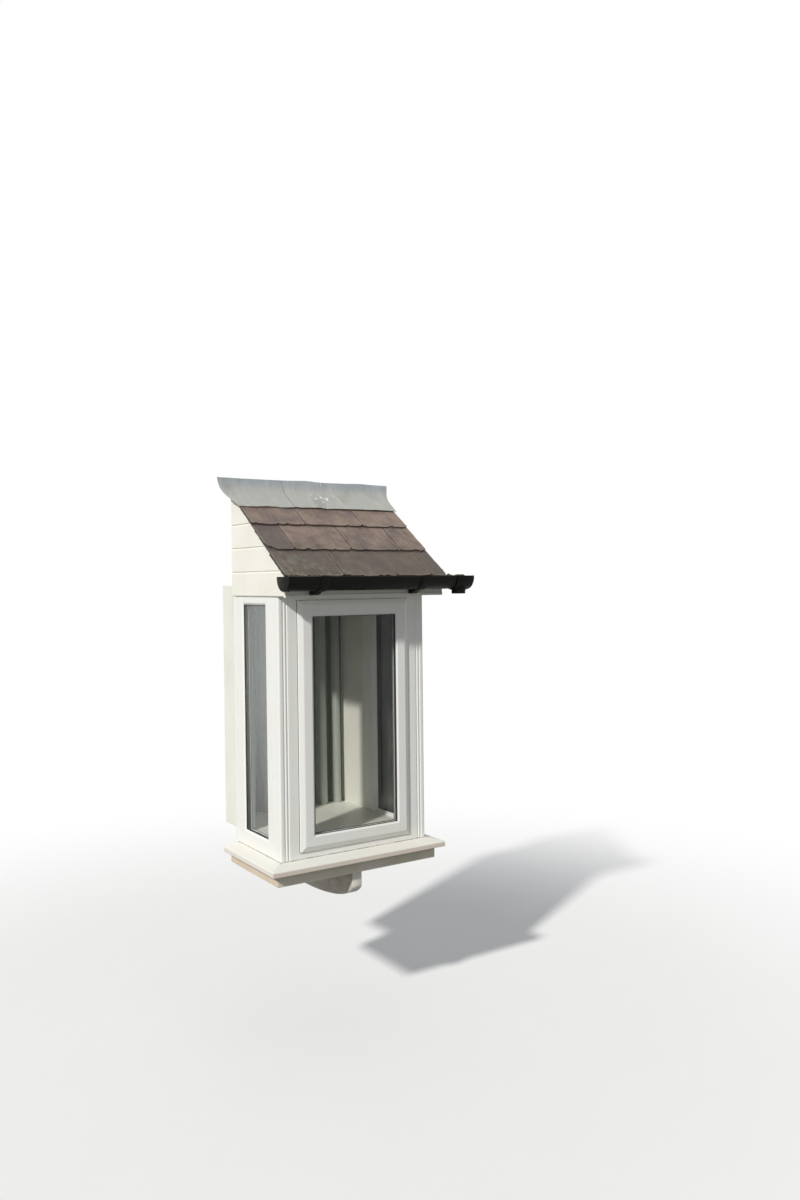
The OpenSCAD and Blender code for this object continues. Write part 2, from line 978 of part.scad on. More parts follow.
front_frame();
front_sash();
front_glass();
casement_handle();
left_frame();
left_glass();
right_frame();
right_glass();
glazing_beads();
glass_spacers();
left_corner_post();
right_corner_post();
left_wall_trim();
right_wall_trim();
front_sill();
left_sill();
right_sill();
front_apron();
left_apron();
right_apron();
base_board();
base_block();
inner_board();
centre_bracket();
head_plates();
cheek_studs();
left_cheek();
right_cheek();
ceiling_board();
wall_ledger();
rafters();
roof_deck();
eaves_soffit();
front_fascia();
right_barge_board();
slate_courses();
lead_flashing();
gutter();
gutter_stop_end();
gutter_outlet();
gutter_brackets();
left_reveal_lining();
right_reveal_lining();
head_lining();
curtain_rail();
left_curtain();
right_curtain();
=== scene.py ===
# %% [markdown]
# # A square oriel bay window
#
# The bay is white plastic on three sides, with a sloped sill, boarded cheeks, a lean-to slate roof,
# a lead flashing and a black gutter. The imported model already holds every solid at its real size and
# place, so this lesson only dresses it. Each cell makes one kind of piece or finish.

import bmesh
import bpy
import numpy as np
from mathutils import Matrix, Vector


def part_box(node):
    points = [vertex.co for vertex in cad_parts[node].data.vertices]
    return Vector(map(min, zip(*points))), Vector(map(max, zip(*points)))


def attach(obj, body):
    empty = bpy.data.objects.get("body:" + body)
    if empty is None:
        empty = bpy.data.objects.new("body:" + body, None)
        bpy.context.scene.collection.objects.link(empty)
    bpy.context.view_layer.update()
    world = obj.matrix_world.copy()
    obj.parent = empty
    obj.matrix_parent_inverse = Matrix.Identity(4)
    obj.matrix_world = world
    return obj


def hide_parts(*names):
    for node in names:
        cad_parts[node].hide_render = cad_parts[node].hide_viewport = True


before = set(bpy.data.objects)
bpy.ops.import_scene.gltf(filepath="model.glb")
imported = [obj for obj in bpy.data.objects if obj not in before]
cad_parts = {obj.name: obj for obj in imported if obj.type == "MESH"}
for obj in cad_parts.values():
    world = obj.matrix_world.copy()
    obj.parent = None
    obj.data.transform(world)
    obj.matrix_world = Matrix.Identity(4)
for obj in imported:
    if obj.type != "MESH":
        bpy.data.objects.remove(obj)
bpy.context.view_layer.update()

print("nodes:", len(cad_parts))

# %% [markdown]
# ## The camera
#
# The view was worked out from the straight edges of the real bay. A camera looks along its own -Z
# with +Y up, so its matrix holds the right, up and backward directions as columns.

# %% Camera
YAW, PITCH, ROLL = np.radians([33.3512, -1.0457, -0.6224])
CAMERA_PLACE = (-2.3844, -4.5114, 1.3480)
LENS_MM, FILM_MM = 29.411, 36


def in_scene(name, data):
    """A new object that holds data and stands in the scene."""
    made = bpy.data.objects.new(name, data)
    bpy.context.scene.collection.objects.link(made)
    return made


def turned(right, up, back):
    """The matrix of an object whose own x, y and z point along three directions."""
    return Matrix(np.stack([right, up, back], 1).tolist()).to_4x4()


forward = np.array([np.sin(YAW) * np.cos(PITCH), np.cos(YAW) * np.cos(PITCH), np.sin(PITCH)])
level = np.array([np.cos(YAW), -np.sin(YAW), 0])
upright = np.cross(level, forward)
right = level * np.cos(ROLL) + upright * np.sin(ROLL)
up = upright * np.cos(ROLL) - level * np.sin(ROLL)

camera = in_scene("camera", bpy.data.cameras.new("camera"))
bpy.context.scene.camera = camera
camera.data.lens = LENS_MM
camera.data.sensor_width = FILM_MM
camera.matrix_world = Matrix.Translation(CAMERA_PLACE) @ turned(right, up, -forward)
print("camera at", CAMERA_PLACE, "lens", LENS_MM, "mm")

# %% [markdown]
# ## Sizes
#
# Nothing is measured twice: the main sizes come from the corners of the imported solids. What a solid
# doesn't have, such as the roundness of an edge, is named where it is first used.

# %% Sizes from the frame
def corners(node):
    """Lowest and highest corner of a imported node, as two arrays in metres."""
    return np.array(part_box(node))


def low(node):
    """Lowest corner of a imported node."""
    return corners(node)[0]


def high(node):
    """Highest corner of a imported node."""
    return corners(node)[1]


HALF_W = high("right_corner_post")[0]
(_, FACE_Y, FRAME_FOOT), (_, INNER_Y, FRAME_HEAD) = corners("front_frame")
FRAME_T = INNER_Y - FACE_Y
fascia_low, fascia_high = corners("front_fascia")
FASCIA_Y, FASCIA_BACK = fascia_low[1], fascia_high[1]
print("half width", HALF_W, "face", FACE_Y, "frame from", FRAME_FOOT, "to", FRAME_HEAD)

# %% [markdown]
# The roof is one slope. The deck's upper face is known at the wall and at the back of the fascia, so
# any height on it is a straight line between the two, and the slates are laid over that line.

# %% Roof slope
SLOPE_TOP = high("roof_deck")[2]
SLOPE = (SLOPE_TOP - fascia_high[2]) / (0 - FASCIA_BACK)


def deck_z(y):
    """Height of the deck's upper face at depth y: a line that rises by SLOPE for each metre inwards."""
    return SLOPE_TOP + SLOPE * y


print("slope", round(float(np.degrees(np.arctan(SLOPE))), 1), "degrees")

# %% [markdown]
# ## From arrays to a piece
#
# Most new pieces here are a skin over a row of outlines. The points are worked out as whole arrays, and
# the faces follow from counting: point j of outline i joins point j + 1 and the same two of outline
# i + 1. The normals are turned outwards once, when the piece is made. A piece gets its one finish at
# the same time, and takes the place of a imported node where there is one.

# %% Skins and pieces
def skin(rows, closed=False):
    """Points and faces over outlines stacked in an array of shape (rows, points, 3).

    Face (i, j) joins points j and j + 1 of outlines i and i + 1. A row that isn't closed on itself
    gets one lid on its first outline and one on its last."""
    count, size = rows.shape[:2]
    i = np.arange(count if closed else count - 1)[:, None]
    j = np.arange(size)[None]
    k, n = (i + 1) % count, (j + 1) % size
    faces = np.stack([i * size + j, i * size + n, k * size + n, k * size + j], -1).reshape(-1, 4).tolist()
    if not closed:
        faces += [list(range(size))[::-1], list(range((count - 1) * size, count * size))]
    return rows.reshape(-1, 3), faces


def dress(look, made):
    """Gives an object its one material."""
    if made.data.materials:
        made.data.materials[0] = look
    else:
        made.data.materials.append(look)


def piece(name, parts, look, node=None, smooth_below=0, values=None):
    """One object from (points, faces) pairs, in one finish, riding on the bay's only body.

    node is what it replaces. Edges that turn by less than smooth_below degrees are shaded smooth.
    values holds one number per point for each attribute that a material reads."""
    starts = np.cumsum([0] + [len(points) for points, _ in parts])
    faces = [[start + n for n in face] for start, (_, some) in zip(starts.tolist(), parts) for face in some]
    mesh = bpy.data.meshes.new(name)
    mesh.from_pydata(np.concatenate([points for points, _ in parts]).tolist(), [], faces)
    for key, numbers in (values or {}).items():
        mesh.attributes.new(key, "FLOAT", "POINT").data.foreach_set("value", np.ravel(numbers))
    shell = bmesh.new()
    shell.from_mesh(mesh)
    bmesh.ops.recalc_face_normals(shell, faces=shell.faces)
    shell.to_mesh(mesh)
    shell.free()
    if smooth_below:
        mesh.shade_smooth()
        mesh.set_sharp_from_angle(angle=np.radians(smooth_below))
    made = in_scene(name, mesh)
    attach(made, "root")
    if node:
        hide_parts(node)
    dress(look, made)
    print(name, len(mesh.vertices), "points")
    return made


# %% [markdown]
# No extruded or sawn edge is perfectly sharp, and it is the small round that catches the light. A
# corner is cut short on both sides and bridged by a curve, which is cheap and always stays inside.

# %% Rounded outlines
def rounded(outline, radius, steps=3):
    """A closed outline with its corners rounded.

    Corner c becomes the curve (1-t)(1-t) a + 2t(1-t) c + t t b, where a and b lie radius from c
    towards its two neighbours, or less where an edge is short."""
    c = np.asarray(outline, float)
    back, ahead = np.roll(c, 1, 0) - c, np.roll(c, -1, 0) - c
    back_l = np.linalg.norm(back, axis=1, keepdims=True)
    ahead_l = np.linalg.norm(ahead, axis=1, keepdims=True)
    r = np.minimum(np.broadcast_to(radius, len(c))[:, None], 0.45 * np.minimum(back_l, ahead_l))
    a, b = (c + back / back_l * r)[:, None], (c + ahead / ahead_l * r)[:, None]
    t = np.linspace(0, 1, steps + 1)[None, :, None]
    return ((1 - t) ** 2 * a + 2 * t * (1 - t) * c[:, None] + t ** 2 * b).reshape(-1, 2)


def shrunk(outline, by):
    """The outline moved inwards by a distance, along the mean of the normals on both sides."""
    edge = np.roll(outline, -1, 0) - outline
    area = np.sum(outline[:, 0] * np.roll(outline[:, 1], -1) - np.roll(outline[:, 0], -1) * outline[:, 1])
    normal = np.stack([-edge[:, 1], edge[:, 0]], 1) * np.sign(area)
    normal /= np.linalg.norm(normal, axis=1, keepdims=True)
    both = normal + np.roll(normal, 1, 0)
    return outline + by * both / np.maximum(np.sum(both ** 2, 1, keepdims=True) / 2, 0.3)


# %% [markdown]
# Most pieces are one outline carried in a straight line, as plastic is extruded and boards are planed.
# The sawn ends are eased a little too.

# %% Straight lengths
ORDER = {"x": [2, 0, 1], "y": [0, 2, 1], "z": [0, 1, 2]}


def length_of(outline, start, end, soft=0.0015, axis="x"):
    """An outline carried along an axis from start to end, with both ends eased by soft.

    The outline lies in (y, z) along x, in (x, z) along y and in (x, y) along z."""
    at = [(start, soft), (start + soft * 0.3, soft * 0.3), (start + soft, 0)]
    at += [(end - soft, 0), (end - soft * 0.3, soft * 0.3), (end, soft)]
    rows = [np.column_stack([shrunk(outline, by), np.full(len(outline), w)]) for w, by in at]
    return skin(np.stack(rows)[..., ORDER[axis]])


def rectangle(u_low, v_low, u_high, v_high):
    """The four corners of an upright rectangle."""
    return [(u_low, v_low), (u_high, v_low), (u_high, v_high), (u_low, v_high)]


def plank(corner_low, corner_high, axis="x", edge=0.002):
    """A board between two corners with all its edges eased, its length along axis."""
    a, b = np.array(corner_low, float), np.array(corner_high, float)
    u, v, w = np.argsort(ORDER[axis])
    return length_of(rounded(rectangle(a[u], a[v], b[u], b[v]), edge), a[w], b[w], edge * 0.7, axis)


# %% [markdown]
# A plastic frame is four lengths of one profile, cut at 45 degrees and welded. So its section is
# drawn once, as distance in from the outer edge and depth behind the face, and stepped round the
# four corners of a rectangle. The weld itself is a shallow groove on the diagonal.

# %% Welded rings
WELD_W, WELD_D = 0.0012, 0.0006
SIDES = (("left", -1), ("right", 1))
SIDE_MIDDLE = (low("left_frame")[1] + high("left_frame")[1]) / 2


def welded(section, width, height, members=None):
    """A section carried round a width by height rectangle that stands on z = 0 with its face at y = 0.

    Point (a, d) of the section lies a inside the rectangle's edge, times the member's share, and d
    behind the face. At each corner three rows lie WELD_W before, on and after the diagonal, and the
    middle row is WELD_D deeper. members holds the left, foot, right and head member widths, where
    they differ from the section's own."""
    left, foot, side, head = np.array(members) / section[:, 0].max() if members else np.ones(4)
    x0, x1 = -width / 2, width / 2
    turns = [
        ((x0, 0), (left, foot), (0, 1), (1, 0)),
        ((x1, 0), (-side, foot), (-1, 0), (0, 1)),
        ((x1, height), (-side, -head), (0, -1), (-1, 0)),
        ((x0, height), (left, -head), (1, 0), (0, -1)),
    ]
    deep = shrunk(section, WELD_D)
    rows = []
    for (cx, cz), (sx, sz), before, after in turns:
        for outline, (slide_x, slide_z) in ((section, before), (deep, (0, 0)), (section, after)):
            x = cx + outline[:, 0] * sx + slide_x * WELD_W
            z = cz + outline[:, 0] * sz + slide_z * WELD_W
            rows.append(np.stack([x, outline[:, 1], z], -1))
    return skin(np.stack(rows), closed=True)


def in_front(ring, face_y, foot_z):
    """Moves a ring to the front of the bay."""
    points, faces = ring
    return points + np.array([0, face_y, foot_z]), faces


def at_side(ring, side, foot_z):
    """Turns a ring on to the left (-1) or right (1) side window."""
    points, faces = ring
    x, y = side * (HALF_W - points[:, 1]), SIDE_MIDDLE - points[:, 0]
    return np.stack([x, y, points[:, 2] + foot_z], -1), faces


# %% [markdown]
# ## Uneven surfaces
#
# Riven slate, dressed lead and hanging cloth all need the same thing: smooth random heights that give
# the same result on every run. Random values on a lattice, eased between neighbours, do that.

# %% Random heights
LATTICE = 64


def rough(u, v, cell, seed):
    """Smooth random heights from -1 to 1.

    Values on a lattice of that cell size are blended with weight 3tt - 2ttt between neighbours."""
    table = np.random.default_rng(seed).uniform(-1, 1, (LATTICE, LATTICE))
    a, b = np.broadcast_arrays(np.asarray(u, float) / cell, np.asarray(v, float) / cell)
    i, j = np.floor(a).astype(int), np.floor(b).astype(int)
    s, t = a - i, b - j
    s, t = s * s * (3 - 2 * s), t * t * (3 - 2 * t)
    at = [[table[(i + m) % LATTICE, (j + n) % LATTICE] for n in (0, 1)] for m in (0, 1)]
    return (at[0][0] * (1 - t) + at[0][1] * t) * (1 - s) + (at[1][0] * (1 - t) + at[1][1] * t) * s


def sheet_of(top, bottom):
    """Points and faces of a closed sheet between two grids of points with the same shape (m, n, 3)."""
    m, n = top.shape[:2]
    index = np.arange(m * n).reshape(m, n)
    upper = np.stack([index[:-1, :-1], index[1:, :-1], index[1:, 1:], index[:-1, 1:]], -1).reshape(-1, 4)
    lower = upper[:, ::-1] + m * n
    rim = np.concatenate([index[:, 0], index[-1, 1:], index[-2::-1, -1], index[0, -2:0:-1]])
    after = np.roll(rim, -1)
    wall = np.stack([rim, after, after + m * n, rim + m * n], -1)
    faces = np.concatenate([upper, lower, wall]).tolist()
    return np.concatenate([top.reshape(-1, 3), bottom.reshape(-1, 3)]), faces


# %% [markdown]
# ## Shader maths
#
# A material is a tree of nodes. Wrapping a socket in a small class lets the sums be written as Python,
# and the class adds the Math nodes. Colours never go through Math, because that would turn them grey.

# %% Sockets with arithmetic
class Socket:
    """One output socket in a material's node tree."""

    def __init__(self, tree, socket=None):
        self.tree = tree
        self.socket = socket

    def node(self, kind, settings=None, inputs=None, out=0):
        """Adds a node of that kind, sets its settings and then its sockets, and wraps one output."""
        made = self.tree.nodes.new("ShaderNode" + kind)
        for name, value in (settings or {}).items():
            setattr(made, name, value)
        for name, value in (inputs or {}).items():
            if isinstance(value, Socket):
                self.tree.links.new(value.socket, made.inputs[name])
            else:
                made.inputs[name].default_value = value
        return Socket(self.tree, made.outputs[out])

    def math(self, operation, *values):
        """One Math node on numbers."""
        return self.node("Math", {"operation": operation}, dict(enumerate(values)))

    def __add__(self, other):
        return self.math("ADD", self, other)

    __radd__ = __add__

    def __mul__(self, other):
        return self.math("MULTIPLY", self, other)

    __rmul__ = __mul__

    def __sub__(self, other):
        return self.math("SUBTRACT", self, other)

    def __rsub__(self, other):
        return self.math("SUBTRACT", other, self)

    def __pow__(self, other):
        return self.math("POWER", self, other)


# %% [markdown]
# The same few ingredients come back in every finish: the place on the bay, the way a face looks, noise,
# a soft threshold, and colours laid over one another.

# %% Ingredients of a finish
def place_on(start, stretch=(1, 1, 1)):
    """Object coordinates, in metres, multiplied by stretch on each axis."""
    coordinates = start.node("TexCoord", out="Object")
    return start.node("VectorMath", {"operation": "MULTIPLY"}, {0: coordinates, 1: stretch})


def split(vector):
    """The x, y and z of a vector, as three values."""
    parts = vector.node("SeparateXYZ", inputs={0: vector})
    return [Socket(vector.tree, output) for output in parts.socket.node.outputs]


def facing(start, axis):
    """How far a face looks along axis 0, 1 or 2 of the bay, from -1 to 1."""
    return split(start.node("TexCoord", out="Normal"))[axis]


def stored(start, name):
    """A number that the piece holds on its points."""
    return start.node("Attribute", {"attribute_name": name}, out="Fac")


def noise(start, scale, stretch=(1, 1, 1), detail=4, roughness=0.55, shift=(0, 0, 0)):
    """Soft noise from 0 to 1 at a number of cells per metre."""
    where = start.node("VectorMath", {"operation": "ADD"}, {0: place_on(start, stretch), 1: shift})
    return start.node("TexNoise", None, {"Vector": where, "Scale": scale, "Detail": detail,
                                         "Roughness": roughness})


def between(value, begin, end):
    """0 below begin, 1 above end, and a smooth rise between them."""
    return value.node("MapRange", {"interpolation_type": "SMOOTHSTEP"},
                      {"Value": value, "From Min": begin, "From Max": end})


def marks(start, begin, end, *texture, **settings):
    """Noise through a soft threshold, which leaves patches, runs or specks of it."""
    return between(noise(start, *texture, **settings), begin, end)


def blend(factor, first, second, mode="MIX"):
    """Mixes two colours by a factor."""
    start = next(v for v in (factor, first, second) if isinstance(v, Socket))
    colours = [v if isinstance(v, Socket) else (*v, 1) for v in (first, second)]
    return start.node("Mix", {"data_type": "RGBA", "blend_type": mode},
                      {0: factor, 6: colours[0], 7: colours[1]}, out=2)


def coats(colour, *over):
    """A colour with others laid over it in turn, each written as its amount and its colour."""
    for amount, coat in over:
        colour = blend(amount, colour, coat)
    return colour


def surface(colour, roughness, height, distance, strength=1.0):
    """What most recipes return. The normal is bent by a height, where 1 stands for distance in metres."""
    bent = height.node("Bump", None, {"Height": height, "Distance": distance, "Strength": strength})
    return {"Base Color": colour, "Roughness": roughness, "Normal": bent}


def finish(name, recipe, slot=None, **fixed):
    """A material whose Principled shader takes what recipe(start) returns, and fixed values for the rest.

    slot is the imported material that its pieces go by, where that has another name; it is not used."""
    material = bpy.data.materials.new(name)
    material.use_nodes = True
    shader = material.node_tree.nodes["Principled BSDF"]
    for socket, value in {**fixed, **recipe(Socket(material.node_tree))}.items():
        key = socket.replace("_", " ")
        if isinstance(value, Socket):
            material.node_tree.links.new(value.socket, shader.inputs[key])
        else:
            shader.inputs[key].default_value = value
    return material


# %% [markdown]
# ## White plastic
#
# Window plastic is smooth, faintly glossy and never quite one white. Rain leaves pale grey runs down
# it, and dust settles low on each member. The runs are noise squeezed sideways, so they hang straight.

# %% White plastic
PLASTIC = (0.86, 0.865, 0.835)
PLASTIC_WARM = (0.86, 0.84, 0.78)
GRIME = (0.42, 0.40, 0.34)


def white_plastic(start):
    """Two whites mixed by broad noise, with vertical runs, specks of grime and dust at the foot."""
    patches = marks(start, 0.35, 0.7, 5, detail=3)
    runs = marks(start, 0.56, 0.78, 26, (1, 1, 0.05), detail=5)
    gaps = marks(start, 0.4, 0.65, 4, shift=(3, 1, 7))
    specks = marks(start, 0.66, 0.76, 160, detail=6, roughness=0.7)
    foot = 1 - between(split(place_on(start))[2], FRAME_FOOT + 0.02, FRAME_FOOT + 0.22)
    colour = coats(PLASTIC, (patches * 0.7, PLASTIC_WARM), (runs * gaps * 0.16, GRIME),
                   (specks * 0.12, GRIME), (foot * 0.09, GRIME))
    ripple = noise(start, 900, detail=2) * 0.15 + noise(start, 14, (1, 1, 0.2), detail=1)
    return surface(colour, runs * 0.2 + patches * 0.08 + 0.27, ripple, 0.0004, 0.6)


plastic = finish("white_plastic", white_plastic, IOR=1.46, Specular_IOR_Level=0.25)


# %% [markdown]
# The sill is the same plastic out in the weather. Its nose is a dull beige, partly a stain from what
# drips off it and partly painted shade and painted warm reflected light, most on the front. Grit lies in the
# corner under the frame.

# %% Weathered sill
# Nose colour: partly drip stain, partly painted shade and painted warm reflected light.
SILL_STAIN_AND_SHADE = (0.70, 0.575, 0.475)
SILL_TINT = (0.915, 0.905, 0.87)
SILL_TOP = high("front_sill")[2]
NOSE_TOP = SILL_TOP - 0.019


def weathered_sill(start):
    """The white plastic, beige where z is below the nose's top edge, most on the front, as stain and painted
    shade, and speckled on the slope.
    """
    made = white_plastic(start)
    _, y, z = split(place_on(start))
    on_nose = 1 - between(z, NOSE_TOP - 0.006, NOSE_TOP + 0.001)
    drips = noise(start, 9, detail=5) * 0.5 + 0.25
    # Beige on the nose, strongest on the front face: partly stain, partly painted shade and reflected light.
    stain_and_shade = on_nose * drips * (0.25 + between(y * -1, 0.53, 0.552))
    grit = marks(start, 0.6, 0.7, 220, detail=6, roughness=0.75, shift=(5, 0, 0))
    joint = between(z, SILL_TOP - 0.004, SILL_TOP - 0.0005)
    colour = coats(blend(0.9, made["Base Color"], SILL_TINT, "MULTIPLY"), (stain_and_shade, SILL_STAIN_AND_SHADE),
                   (grit * (joint * 0.5 + 0.14), GRIME))
    return {**made, "Base Color": colour, "Roughness": stain_and_shade * 0.3 + grit * 0.2 + 0.48}


sill_white = finish("weathered_sill", weathered_sill, "white_plastic", Specular_IOR_Level=0.2)


# %% [markdown]
# The cheeks, the fascia and the aprons are foamed plastic boards: warmer, duller and dirtier than the
# extruded frames. Below the sill they are darker, partly dirt where the water drips past them and partly
# painted shade, and faces turned to the left take a browner colour there.

# %% White boards
BOARD = (0.90, 0.88, 0.80)
BOARD_DULL = (0.84, 0.815, 0.725)
# The two colours below the sill: a browner one for faces turned to the left, and one elsewhere that is partly
# dirt and partly painted shade.
BOARD_LEFT_BROWN = (0.655, 0.515, 0.375)
BOARD_SHADE_AND_DIRT = (0.585, 0.535, 0.415)
UNDER_SILL = low("front_sill")[2] + 0.015


def white_board(start):
    """A warm white with drips: narrow noise runs, kept to some places by broad noise."""
    patches = marks(start, 0.35, 0.75, 4, detail=4, shift=(2, 2, 0))
    drips = marks(start, 0.55, 0.8, 40, (1, 1, 0.04), detail=5, shift=(0, 9, 0))
    places = marks(start, 0.42, 0.62, 3, shift=(8, 1, 2))
    dust = marks(start, 0.62, 0.74, 120, detail=6, roughness=0.7)
    # Darker below the sill: partly dirt, partly painted shade.
    shade_and_dirt_below = 1 - between(split(place_on(start))[2], UNDER_SILL - 0.01, UNDER_SILL + 0.01)
    # Faces turned to the left take the browner colour below the sill.
    left = between(facing(start, 0) * -1, 0.3, 0.7)
    colour = coats(BOARD, (patches, BOARD_DULL),
                   (shade_and_dirt_below * (0.58 + 0.3 * patches + 0.2 * left), blend(left, BOARD_SHADE_AND_DIRT, BOARD_LEFT_BROWN)),
                   (drips * places * 0.2 + dust * 0.1, GRIME))
    return surface(colour, patches * 0.12 + drips * 0.1 + 0.4, noise(start, 420, detail=3), 0.0002, 0.5)


board = finish("white_board", white_board, Specular_IOR_Level=0.2)


# %% [markdown]
# Inside, the window board, the linings and the ceiling are painted, and so is the bracket below the
# sill. Brushed paint shows faint lines along its length.

# %% White paint
PAINT = (0.845, 0.835, 0.75)
PAINT_DULL = (0.76, 0.75, 0.665)
# Painted shade colour for the bracket below the sill.
PAINT_SHADE = (0.25, 0.205, 0.135)


def white_paint(start):
    """Brush lines are noise squeezed hard along z, mixed with broad yellowing.

    Below the sill the colour is painted shade, darkest at the top under the sill and mostly left off faces
    towards the front, where the key light falls, with a little dirt noise in it."""
    lines = noise(start, 300, (1, 1, 0.02), detail=3)
    patches = marks(start, 0.35, 0.7, 3.5, detail=4)
    dirt = marks(start, 0.3, 0.7, 22, detail=6, roughness=0.65)
    z = split(place_on(start))[2]
    # Painted shade below the sill: darkest near the top, under the sill, and mostly left off faces towards
    # the front, where the key light falls.
    key_lit_front = between(facing(start, 1) * -1, 0.3, 0.7)
    shade_and_dirt_below = 1 - between(z, UNDER_SILL - 0.03, UNDER_SILL)
    shade_near_top = between(z, UNDER_SILL - 0.13, UNDER_SILL - 0.07)
    colour = coats(PAINT, (patches, PAINT_DULL),
                   (shade_and_dirt_below * (dirt * 0.3 + shade_near_top * 0.35 + 0.35) * (1 - key_lit_front * 0.9), PAINT_SHADE),
                   (between(lines, 0.5, 0.75) * 0.08, GRIME))
    return surface(colour, lines * 0.12 + 0.34, lines, 0.0003, 0.5)


paint = finish("white_paint", white_paint, IOR=1.48, Specular_IOR_Level=0.25)


# %% [markdown]
# ## Rubber, sealant and metal
#
# A dark gasket runs round every pane and closes the gap round the casement. Between the panes a dark
# metal bar holds them apart, and seen at a slant it is the dark border of the glass.

# %% Rubber, sealant and spacer metal
def black_rubber(start):
    """Nearly black, with a blue-green bloom where noise is high."""
    bloom = marks(start, 0.4, 0.75, 30, detail=4)
    return surface(blend(bloom, (0.012, 0.014, 0.013), (0.035, 0.05, 0.05)), bloom * 0.25 + 0.5,
                   noise(start, 600), 0.0002)


def grey_sealant(start):
    """Pale silicone that has taken up dirt in streaks."""
    dirt = marks(start, 0.4, 0.7, 50, detail=5, roughness=0.7)
    return surface(blend(dirt, (0.5, 0.49, 0.45), (0.16, 0.15, 0.13)), dirt * 0.2 + 0.45,
                   noise(start, 150), 0.0008)


def spacer_metal(start):
    """Metal coloured nearly black, with a green cast and a fine grain along its length."""
    grain = noise(start, 500, (1, 1, 0.1), detail=3)
    return surface(blend(grain, (0.012, 0.019, 0.015), (0.040, 0.055, 0.046)), grain * 0.25 + 0.35,
                   grain, 0.0002)


rubber = finish("black_rubber", black_rubber, "black_plastic")
sealant = finish("grey_sealant", grey_sealant, "white_plastic")
spacer = finish("spacer_metal", spacer_metal, Metallic=0.3)


# %% [markdown]
# ## Glass
#
# A pane of clear glass shows what is behind it and, more and more towards a glancing angle, what is in
# front of it. Letting light straight through with Alpha keeps the room side lit and free of noise. How
# far the view glances off the pane is the same from both of its faces, so the share that shows is a
# power of it. The left-hand pane mirrors more, a painted reflection of the bright view it faces. The
# right-hand one has a heavy dark tint, painted shade for the dark corner it faces, and is the darkest.

# %% Glass
def glass(name, tint, share, mirror):
    """Glass with three parts: share of it is a dark tint, a mirror part grows as 0.04 + 0.96 g^5 with
    the glance g, as light does on any polished face, and the rest lets light straight through. mirror
    scales the mirror part, for how bright the view is that the pane faces, and it is weaker low down,
    where that view is darker."""
    def recipe(start):
        """Alpha is tint plus mirror plus a film of dust, and Metallic is the mirror's part of it."""
        glance = start.node("LayerWeight", None, {"Blend": 0.5}, out="Facing")
        film = marks(start, 0.4, 0.8, 7, (1, 1, 0.35), detail=5)
        dust = marks(start, 0.6, 0.8, 90, detail=6, roughness=0.75)
        # Painted reflection: the mirror part is weaker low down, for a darker view there.
        sky = between(split(place_on(start))[2], 0.1, 1.0) * 0.6 + 0.4
        shine = (glance ** 5 * 0.96 + 0.04) * sky * mirror
        body = film * 0.012 + dust * 0.012 + share
        part = start.math("DIVIDE", shine, shine + body)
        dull = blend(film * 0.5 + dust * 0.4, tint, (0.34, 0.35, 0.31))
        return {"Base Color": blend(part, dull, (0.90, 0.95, 0.93)), "Alpha": shine + body,
                "Metallic": part, "Roughness": film * 0.03 + 0.01}
    made = finish(name, recipe, IOR=1.5)
    made.surface_render_method = "BLENDED"
    return made


clear_glass = glass("clear_glass", (0.035, 0.045, 0.036), 0.025, 0.15)
# The left pane's strong mirror is a painted reflection of a bright view.
bright_glass = glass("bright_glass", (0.08, 0.09, 0.08), 0.02, 0.92)
# The right pane's heavy dark tint is painted shade for the dark corner it faces.
dark_glass = glass("dark_glass", (0.011, 0.015, 0.006), 0.6, 0.3)


# %% [markdown]
# ## Slate
#
# No two slates are split from the same stone, so each has its own tone, stored on its points as a
# number. It is purple-brown stone with brown and grey clouds, streaks down the slope, pale edges that
# are partly wear and partly a painted highlight, and lichen where it stays damp, low on the left.

# %% Slate finish
SLATE_DEEP = (0.125, 0.088, 0.077)
SLATE_PALE = (0.248, 0.180, 0.137)
SLATE_GREY = (0.084, 0.065, 0.069)
SLATE_STREAK = (0.33, 0.270, 0.22)
SLATE_FILM = (0.060, 0.045, 0.031)
LICHEN = (0.19, 0.19, 0.135)
LICHEN_PALE = (0.30, 0.29, 0.23)
GRIT_AND_SHADE = (0.018, 0.015, 0.012)


